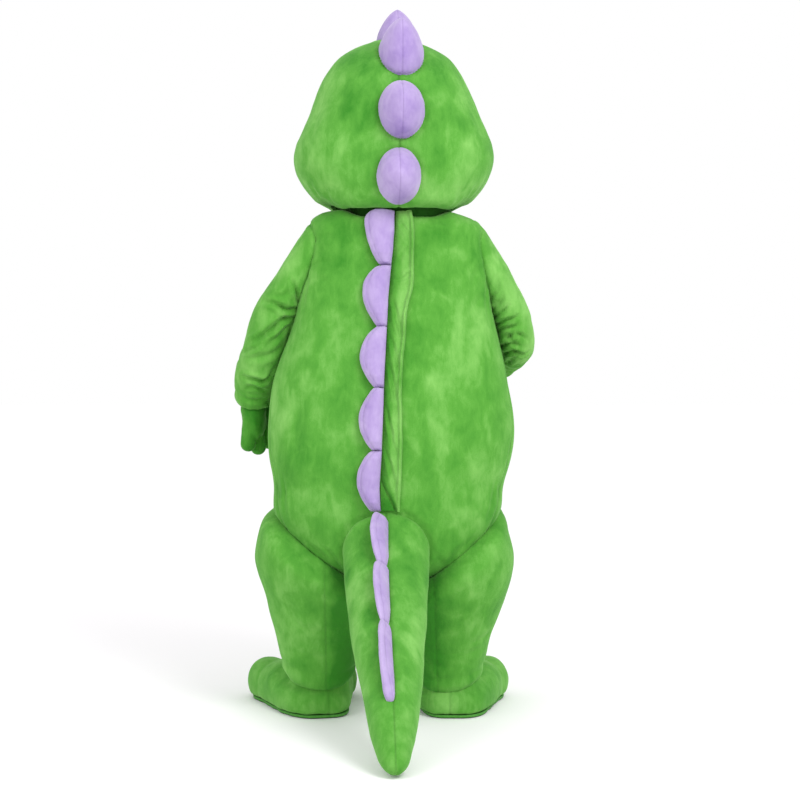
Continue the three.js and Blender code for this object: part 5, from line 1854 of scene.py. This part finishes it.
for i, (s0, s1, high, lean, thick, peak) in enumerate(TAIL_SPIKES):
    lean = math.radians(lean)
    ts = np.sin(np.linspace(-np.pi / 2, np.pi / 2, 84)) * 0.5 + 0.5
    rings, ends, ridge, low_edge = [], [], [], []
    length = math.dist(*[[float(at(TAIL, q)[k]) for k in "xyz"] for q in (s0, s1)])
    for t in ts:
        q = s0 + (s1 - s0) * t
        r = {k: float(v) for k, v in at(TAIL, q).items()}
        a0, b0 = at(TAIL, max(q - 0.05, 0)), at(TAIL, q + 0.05)
        d = unit(np.array([b0[k] - a0[k] for k in "xyz"]))
        up = unit(-np.cross([1, 0, 0], d))
        seat = np.array([r["x"] - 4, r["y"], r["z"]]) + up * (r["rw"] - 5)
        out = unit(up * math.cos(lean) + np.array([-math.sin(lean), 0, 0]))
        through = unit(np.cross([0, -0.745, -0.667], out))
        if t in (ts[0], ts[-1]):
            ends.append((seat + out * 12).tolist())
            continue
        round_ = float(rounded(t, peak, 0.85))
        neck = SPIKE_NECK + (12 if i == 0 and t < peak else 6)
        if i == 2 and t > peak:
            # the last one is rounded off
            neck, round_ = 8, float(rounded(t, peak, 0.5))
        tall, full = neck + (high - neck) * round_, min(1, 0.45 + round_)
        shut = closing(min(t, 1 - t) * length, 3.0 if i == 0 and t < 0.5 else 7.0)
        v = 0.5 - 0.5 * np.cos(np.linspace(0, np.pi, ACROSS + 1))
        half = 0.5 * thick * full * shut * np.sqrt(np.maximum(1 - v**2.2, 0)) * (0.72 + 0.28 * np.minimum(1, v * 3))
        half -= shut * 1.6 * round_ * bell((1 - v) * tall - 11, 2.2)
        half[-1] = 0
        a_side = seat + out * (tall * v)[:, None] + through * half[:, None]
        b_side = (seat + out * (tall * v)[:, None] - through * half[:, None])[::-1][1:]
        rings.append(np.concatenate([a_side, b_side]))
        for side_ in (a_side, b_side[::-1]):
            m = len(side_)
            ridge.append([np.interp(1 - 11 / tall, v[:m], side_[:, k]) for k in range(3)])
        low_edge.append(a_side[-1])
    rings = np.array(rings)
    n = grid_normals(rings)
    rings = rings + n * (0.8 * noise(rings, 26, 80 + i) + 0.35 * noise(rings, 10, 85 + i))[..., None]
    me = pad_mesh(f"tail_spike_{i + 1}", rings, *ends)
    me = boolean(me, [solid_tube("tailclear", tube(TAIL, 60, 60)[0] * [1, 1, 1])])
    me = largest_part(me)
    rim = Seam(low_edge)

    def rim_light(p, rim=rim):
        return 0.45 * bell(rim.distance(p, 30), 8)

    paint_seam_shade_and_nap(me, [(Seam(ridge[8:-8]), 1.3, 0.4)], nap=rim_light)
    o = piece(f"tail_spike_{i + 1}", me, LAVENDER, angle=60)

# ================================================================ placket and underlap
rows, cols = 260, 30
ss = np.linspace(0, len(PLACKET["z"]) - 1, rows)
r = at(PLACKET, ss)
v = np.linspace(0, 1, cols)
left, right, z, stand = (r[k][:, None] for k in ("left", "right", "z", "stand"))
wide = right - left
x = left + wide * v[None, :]
z = np.broadcast_to(z, x.shape)
from_right = (1 - v[None, :]) * wide
x = x + 1.4 * v[None, :] * np.interp(z[:, :1] if z.ndim > 1 else z, np.arange(540, 1380, 20), noise(np.stack([np.zeros(42), np.zeros(42), np.arange(540, 1380, 20)], -1), 38, 94))
from_left = v[None, :] * wide
out = 2.8 + 2.4 * np.sin(np.pi * v[None, :]) + 1.5 * stand * bell(from_right - 5.5, 4.6) - 1.8 * bell(from_right, 2.0)
out = out - 1.6 * bell(from_right - 15, 5) - 1.2 * bell(from_left - 2, 4)
PLACKET_FOLDS = [
    ([px(396, 281), px(404, 278), px(413, 270)], 5.0, 4.5),
    ([px(399, 222), px(404, 228), px(409, 236)], 3.6, 4.5),
    ([px(412, 246), px(405, 252), px(399, 262)], 2.6, 5),
    ([px(393, 298), px(397, 320), px(403, 340)], 5.0, 5),
    ([px(390, 336), px(396, 356), px(400, 376)], 4.6, 5),
    ([px(389, 364), px(394, 386), px(396, 402)], 5.0, 4.5),
    ([px(387, 408), px(391, 432), px(396, 454)], 5.5, 4.5),
    ([px(385, 446), px(390, 464), px(395, 488)], 4.8, 4.5),
    ([px(403, 304), px(406, 317), px(408, 326)], 3.0, 4),
    ([px(402, 392), px(398, 408), px(400, 424)], 2.6, 4),
    ([px(400, 480), px(398, 496), px(397, 508)], 3.0, 4),
]
flat_p = np.stack([x, np.zeros_like(x), z], -1)
for line, dep, w in PLACKET_FOLDS:
    out = out + fold(flat_p, [[a_, 0, b_] for a_, b_ in line], dep, w, ridge=0.6, warp=2, reach=30)
out = out + 0.7 * noise(flat_p * [1, 1, 0.6], 16, 91) + 0.4 * noise(flat_p, 8, 92)
out = np.maximum(out, 1.2) + GAP
face = on_back(x, z, out)
rear = on_back(x[:, ::-1][:, 1:-1], z[:, ::-1][:, 1:-1], np.full((rows, cols - 2), GAP + 0.6))
me = solid_tube("placket", np.concatenate([face, rear], 1))
right_edge, left_edge = Seam(face[::2, -1]), Seam(face[::2, 0])


# painted shadow of the spikes, darker on the left side, and painted light on the right ridge
def placket_shade_and_light(p):
    left, right = placket_edges(np.clip(p[..., 2], 560, 1340))
    t = np.clip(((p[..., 0] - left) / (right - left) - 0.12) / 0.5, 0, 1)
    deep = np.clip((1262 - p[..., 2]) / 60, 0.25, 1)
    return 0.62 - 1.25 * deep * (1 - t * t * (3 - 2 * t))


# painted shadow along the left edge beside the spikes
paint_seam_shade_and_nap(me, [(right_edge, 1.6, 0.35), (left_edge, 4.0, 0.9)], nap=placket_shade_and_light)
o = piece("placket", me, GREEN, angle=75)
sheet(o, 0.09, 0.82)

rows, cols = 60, 24
ss = np.linspace(0, 2, rows)
r = at(UNDERLAP, ss)
v = np.linspace(0, 1, cols)[None, :]
x = r["left"][:, None] + (r["right"] - r["left"])[:, None] * v
z = np.broadcast_to(r["z"][:, None], x.shape)
p = np.stack([x, np.zeros_like(x), z], -1)
out = GAP + 2.6 + 0.5 * noise(p, 14, 95)
face = on_back(x, z, out)
rear = on_back(x[:, ::-1][:, 1:-1], z[:, ::-1][:, 1:-1], np.full((rows, cols - 2), GAP + 0.5))
me = solid_tube("underlap", np.concatenate([face, rear], 1))
paint_seam_shade_and_nap(me, [], 1, 0, nap=-0.75)
o = piece("underlap", me, GREEN, angle=60)
sheet(o, 0.05, 0.085)


# ================================================================ head
def turned(p):
    """From the head's own frame to the costume's."""
    c, s = math.cos(HEAD_YAW), math.sin(HEAD_YAW)
    return np.stack([HEAD_PIVOT_X + p[..., 0] * c - p[..., 1] * s, p[..., 0] * s + p[..., 1] * c, p[..., 2]], -1)


def unturned(p):
    c, s = math.cos(HEAD_YAW), math.sin(HEAD_YAW)
    x, y = p[..., 0] - HEAD_PIVOT_X, p[..., 1]
    return np.stack([x * c + y * s, -x * s + y * c, p[..., 2]], -1)


def head_field(x, y, r):
    dy = y - HEAD_CY
    rx = np.maximum(r["rx"], 1)
    deep = np.maximum(np.where(dy < 0, r["back"], r["front"]), 1)
    ov = (((np.abs(x) / rx) ** r["n"] + (np.abs(dy) / deep) ** r["n"]) ** (1 / r["n"]) - 1) * rx
    m = MUZZLE
    egg = (np.sqrt((x / m["rx"]) ** 2 + ((y - m["y"]) / m["ry"]) ** 2 + ((r["z"] - m["z"]) / m["rz"]) ** 2) - 1) * m["rz"]
    k = m["soft"]
    h = np.maximum(k - np.abs(ov - egg), 0) / k
    return np.minimum(ov, egg) - h * h * k / 4


def head_grid(rows, cols):
    s = even_steps(HEAD, rows + 1, lambda r: np.stack([r["rx"] * 0.6, -r["back"], r["z"]], -1))[:-1]
    s[0] = 0
    r = {k: v[:, None] for k, v in at(HEAD, s).items()}
    a = np.arange(cols) / cols * TAU
    dx, dy = np.cos(a)[None], np.sin(a)[None]
    lo = np.zeros((rows, cols))
    found = np.zeros((rows, cols), bool)
    for t in range(420, 0, -6):
        hit = (head_field(t * dx, HEAD_CY + t * dy, r) < 0) & ~found
        lo[hit], found[hit] = t, True
    hi = lo + 6
    for _ in range(18):
        t = (lo + hi) / 2
        inside = head_field(t * dx, HEAD_CY + t * dy, r) < 0
        lo, hi = np.where(inside, t, lo), np.where(inside, hi, t)
    return np.stack([lo * dx, HEAD_CY + lo * dy, np.broadcast_to(r["z"], lo.shape)], -1)


HEAD_ROWS, HEAD_COLS = 170, 280
head = head_grid(HEAD_ROWS, HEAD_COLS)
hn = grid_normals(head)
HEAD_FOLDS = [  # x, height on the back of the head; the same creases are mirrored to the front
    (((-196, 1372), (-212, 1392), (-222, 1418)), 3.4, 9),
    (((-170, 1362), (-180, 1378), (-186, 1400)), 3.0, 8),
    (((190, 1370), (206, 1392), (214, 1420)), 3.4, 9),
    (((150, 1360), (160, 1376), (168, 1400)), 2.6, 8),
    (((-120, 1358), (-124, 1372), (-124, 1392)), 2.2, 7),
    (((96, 1358), (100, 1372), (102, 1392)), 2.2, 7),
    (((-232, 1520), (-214, 1580), (-206, 1640)), 1.8, 20),
    (((236, 1520), (216, 1584), (204, 1640)), 1.8, 20),
]


def head_seam_back(p):
    q = unturned(p)
    return np.where(q[..., 1] < HEAD_CY + 18, np.abs(q[..., 0] - HEAD_SEAM_X), 1e3)


def head_seam_side(p):
    return np.abs(unturned(p)[..., 1] - HEAD_CY - 18)


def spike_frame(row):
    x, y, z, aim, rs, rl, high, lean = row
    aim = math.radians(aim)
    return (
        np.array([x, y, z], float),
        np.array([0, -math.cos(aim), math.sin(aim)]),
        np.array([0, math.sin(aim), math.cos(aim)]),
    )


SPIKE_PROFILE = table("h k", [[-0.22, 1.02], [0.0, 1.0], [0.3, 0.89], [0.62, 0.62], [0.86, 0.31], [1.0, 0.0]])


def spike_grid(row, rows=70, cols=96):
    c0, axis, along = spike_frame(row)
    _, _, _, _, rs, rl, high, lean = row
    h = np.linspace(-0.22, 1, 400)
    k = np.interp(h, SPIKE_PROFILE["h"], SPIKE_PROFILE["k"])
    # an egg: round at the tip, straight-sided lower down
    k = np.where(h > 0, np.maximum(1 - np.clip(h, 0, 1) ** 1.9, 0) ** 0.72, 1.0)
    line = np.stack([k * rs, h * high], -1)
    along_l = lengths(line)
    pick = np.interp(np.linspace(0, along_l[-1], rows + 1), along_l, np.arange(400))[:-1]
    h, k = np.interp(pick, np.arange(400), h), np.interp(pick, np.arange(400), k)
    a = np.arange(cols) / cols * TAU
    c = c0 + np.outer(h * high, axis) + np.outer(lean * np.maximum(h, 0) ** 2, along)
    return c[:, None, :] + np.outer(k * rs, np.cos(a))[..., None] * np.array([1.0, 0, 0]) + np.outer(k * rl, np.sin(a))[..., None] * along


spike_grids = [spike_grid(r) for r in HEAD_SPIKES]
hn_t = None
base_marks = []
for g in spike_grids:
    # where each spike meets the head: the ring of its points nearest the head's surface
    tree = KDTree(head.shape[0] * head.shape[1])
    flat = head.reshape(-1, 3)
    for i in range(0, len(flat), 3):
        tree.insert(flat[i], i)
    tree.balance()
    pts = []
    for j in range(0, g.shape[1], 2):
        dist = [tree.find(g[k, j])[2] for k in range(0, 46, 2)]
        pts.append(g[int(np.argmin(dist)) * 2, j])
    base_marks.append(np.array(pts))
SPIKE_BASE = Seam(turned(np.concatenate(base_marks)))

d = 2.0 * noise(head, 140, 101) + 1.4 * noise(head, 64, 102) + 0.45 * noise(head, 28, 103)
for line, dep, w in HEAD_FOLDS:
    for facing in (-1, 1):
        pts = []
        for x, z in line:
            k = np.argmin(np.abs(head[..., 0] - x * -facing) + np.abs(head[..., 2] - z) + 1e3 * ((head[..., 1] - HEAD_CY) * facing < 0))
            pts.append(head.reshape(-1, 3)[k].tolist())
        d += fold(head, pts, dep, w, warp=4)
world_head = turned(head)
b = head_seam_back(world_head)
sd = head_seam_side(world_head)
d += pinch(b, 2.0, 4, 0.35) + puckers(head, b, 15, 0.6, 12, 104)
d += pinch(sd, 2.4, 5, 0.35) + puckers(head, sd, 17, 0.8, 14, 105)
base_d = SPIKE_BASE.distance(world_head, 50)
d += pinch(base_d, 3.0, 6, 0.35) + puckers(head, base_d, 12, 0.9, 12, 106)
rim = head[..., 2] - 1351
d += -7.0 * np.exp(-rim / 6) + 3.0 * bell(rim - 20, 14) + np.exp(-rim / 26) * 2.6 * noise(head * [1, 1, 0.4], 26, 107)
head_skin = head + hn * d[..., None]
# the crown is fuller round the foremost spike, and the rim is cut higher at the sides
crown = 26 * np.exp(-(((head[..., 0] - 12) / 82) ** 2 + ((head[..., 1] - 96) / 62) ** 2) ** 1.5) * np.clip((head[..., 2] - 1700) / 80, 0, 1)
k = np.clip((np.abs(head[..., 0]) - 140) / 55, 0, 1)
head_lift = crown + (-7 + 26 * k * k * (3 - 2 * k)) * np.exp(-rim / 32)
head_skin[..., 2] += head_lift
rows_in = np.unique(np.concatenate([np.arange(0, HEAD_ROWS, 4), [HEAD_ROWS - 1]]))
head_in = head + hn * (np.minimum(d, 1) - HEAD_WALL)[..., None]
head_in[..., 2] += head_lift
head_in = head_in[rows_in]
head_mesh = wall_mesh("head", turned(head_skin), turned(head_in), closed=True)


def mouth_prism(grow):
    xs = np.linspace(-1, 1, 41)

    def line(t, e):
        return MOUTH["z"] + MOUTH["rise"] * t * t + e * (MOUTH["drop"] * np.sqrt(np.maximum(1 - t * t, 0)) + grow)

    xx = np.concatenate([xs, xs[::-1]]) * (MOUTH["half"] + grow)
    zz = np.concatenate([line(xs, -1), line(xs[::-1], 1)])
    zz[0] -= 0.01
    zz[-1] += 0.01
    rings = np.array([np.stack([xx, np.full_like(xx, y), zz], -1) for y in (150, 420)])
    return solid_tube("mouth", turned(rings))


nrm = turned(np.array([[0, 1, 0], [0, 0, 0]], float))
forward = tuple(nrm[0] - nrm[1])
across = (forward[1], -forward[0], 0)
cut_p = tuple(turned(np.array([0, HEAD_CY + 18, 0.0])))
mid_p = tuple(turned(np.array([HEAD_SEAM_X, 0, 0.0])))
front = keep_side(head_mesh, forward, cut_p, 0.1)
back = keep_side(head_mesh, tuple(-c for c in forward), cut_p, 0.1)
face_part = largest_part(boolean(front, [mouth_prism(0.6)]))
mesh_part = largest_part(boolean(front, [mouth_prism(0)], "INTERSECT"))
for name, me in (
    ("head_front", face_part),
    ("head_back_left", largest_part(keep_side(back, tuple(-c for c in across), mid_p, 0.1))),
    ("head_back_right", largest_part(keep_side(back, across, mid_p, 0.1))),
):
    paint_seam_shade_and_nap(me, [head_seam_back, head_seam_side, SPIKE_BASE], 2.6, 0.7)
    o = piece(name, me, GREEN)
o = piece("mouth_mesh", mesh_part, MESH)
sheet(o, 0.32, 0.05)

head_full = solid_tube("headfull", turned((head + np.stack([0 * head_lift, 0 * head_lift, head_lift], -1))[::3, ::2]))
for i, (row, g) in enumerate(zip(HEAD_SPIKES, spike_grids)):
    c0, axis, along = spike_frame(row)
    n = grid_normals(g)
    gap = np.abs(g[..., 0] - c0[0])
    d = 1.0 * noise(g, 40, 110 + i) + 0.5 * noise(g, 18, 115 + i)
    d += pinch(gap, 0.8, 2.2, 0.3) + puckers(g, gap, 9, 0.3, 8, 119)
    bd = Seam(base_marks[i]).distance(g, 40)
    d += pinch(bd, 2.6, 5, 0.3) + puckers(g, bd, 10, 0.9, 10, 118)
    me = solid_tube("spike", turned(g + n * d[..., None]), cap=tuple(turned(c0 + axis * row[6] + along * row[7])))
    me = largest_part(boolean(me, [head_full]))
    cw = turned(c0)

    def spike_seam(p, x=c0[0]):
        return np.abs(unturned(p)[..., 0] - x)

    low_z, high_z = float(turned(g)[..., 2].min()), float(turned(g)[..., 2].max())

    def spike_lower_shade(p, lo=low_z, hi=high_z, x=c0[0]):
        # painted shade in the lower half, deepest beside the seam
        t = np.clip((p[..., 2] - lo) / (hi - lo), 0, 1)
        return 0.0 - 0.8 * (1 - t) ** 1.5 * (0.5 + 0.5 * bell(np.abs(unturned(p)[..., 0] - x), 40))

    paint_seam_shade_and_nap(me, [(spike_seam, 1.2, 0.45)], nap=spike_lower_shade)
    o = piece(f"head_spike_{i + 1}", me, LAVENDER, angle=60)


# ================================================================ eyes
def dome(c, mirror, grow=0.0):
    bm = bmesh.new()
    bmesh.ops.create_uvsphere(bm, u_segments=64, v_segments=40, radius=1)
    from mathutils import Matrix

    rx, ry, rz = (r + grow for r in c["r"])
    m = (
        Matrix.Translation((mirror * c["x"], c["y"], c["z"]))
        @ Matrix.Rotation(mirror * -0.42, 4, "Z")
        @ Matrix.Rotation(-0.28, 4, "X")
        @ Matrix.Diagonal((rx, ry, rz, 1))
    )
    bm.transform(m)
    me = bpy.data.meshes.new("dome")
    bm.to_mesh(me)
    bm.free()
    co = np.empty(len(me.vertices) * 3, np.float32)
    me.vertices.foreach_get("co", co)
    set_coords(me, turned(co.reshape(-1, 3).astype(float)))
    return me


for name, mirror in (("left", -1), ("right", 1)):
    me = largest_part(boolean(dome(EYE, mirror), [head_full]))
    piece("eye_" + name, me, EYE_WHITE, angle=50)
    me = largest_part(boolean(dome(PUPIL, mirror), [dome(EYE, mirror, GAP), head_full]))
    piece("pupil_" + name, me, PUPIL_BLACK, angle=50)

# ================================================================ floor, light, camera
bm = bmesh.new()
bmesh.ops.create_grid(bm, x_segments=1, y_segments=1, size=40)
floor_me = bpy.data.meshes.new("floor")
bm.to_mesh(floor_me)
bm.free()
floor = bpy.data.objects.new("floor", floor_me)
floor.location = (0, 0, -FLOOR / 1000 - 0.0005)
scene.collection.objects.link(floor)
fn = Nodes("floor_white")
fn.set(Roughness=0.9)
fn.bsdf.inputs["Base Color"].default_value = (0.938, 0.922, 0.938, 1)
fn.bsdf.inputs["Specular IOR Level"].default_value = 0.0
fn.bsdf.inputs["Emission Color"].default_value = (1, 1, 1, 1)
far = fn.node("ShaderNodeVectorMath", operation="LENGTH")
fn.link(fn.coord, far.inputs[0])
glow = fn.node("ShaderNodeMapRange", interpolation_type="SMOOTHSTEP", clamp=True)
glow.inputs["From Min"].default_value = 0.8
glow.inputs["From Max"].default_value = 4.5
glow.inputs["To Max"].default_value = 0.085
fn.link(far.outputs["Value"], glow.inputs["Value"])
fn.link(glow.outputs["Result"], fn.bsdf.inputs["Emission Strength"])
floor_me.materials.append(fn.mat)

world = bpy.data.worlds.new("white")
scene.world = world
world.use_nodes = True
world.node_tree.nodes["Background"].inputs["Color"].default_value = (1, 1, 1, 1)
world.node_tree.nodes["Background"].inputs["Strength"].default_value = 1.0


def area_light(name, place, target, size, power, colour=(1, 1, 1)):
    d = bpy.data.lights.new(name, "AREA")
    d.shape, d.size, d.energy, d.color = "DISK", size, power, colour
    o = bpy.data.objects.new(name, d)
    scene.collection.objects.link(o)
    o.location = place
    o.rotation_euler = (Vector(target) - Vector(place)).to_track_quat("-Z", "Y").to_euler()
    return o


area_light("key", (1.9, -3.1, 2.1), (0, 0, -0.1), 1.9, 100)
area_light("fill", (-2.5, -3.3, 1.4), (0, 0, -0.2), 2.2, 40)

cam = bpy.data.cameras.new("camera")
cam.sensor_width, cam.sensor_fit = 36, "HORIZONTAL"
cam.lens = 1703.7 / 800 * 36
cam.clip_end = 100
camera = bpy.data.objects.new("camera", cam)
scene.collection.objects.link(camera)
camera.location = (0.0135, -4.6, (924.5 - FLOOR) / 1000)
camera.rotation_euler = (math.radians(90) - math.atan2(30, 1703.7), 0, 0)
scene.camera = camera
scene.view_settings.view_transform = "Standard"
scene.view_settings.look = "None"
scene.view_settings.exposure = 0
scene.view_settings.gamma = 1

for me in [m for m in bpy.data.meshes if m.users == 0]:
    bpy.data.meshes.remove(me)
print("triangles", {o.name: sum(len(p.vertices) - 2 for p in o.data.polygons) for o in made.values()})
print("total", sum(sum(len(p.vertices) - 2 for p in o.data.polygons) for o in made.values()))
print("cuts", cuts)
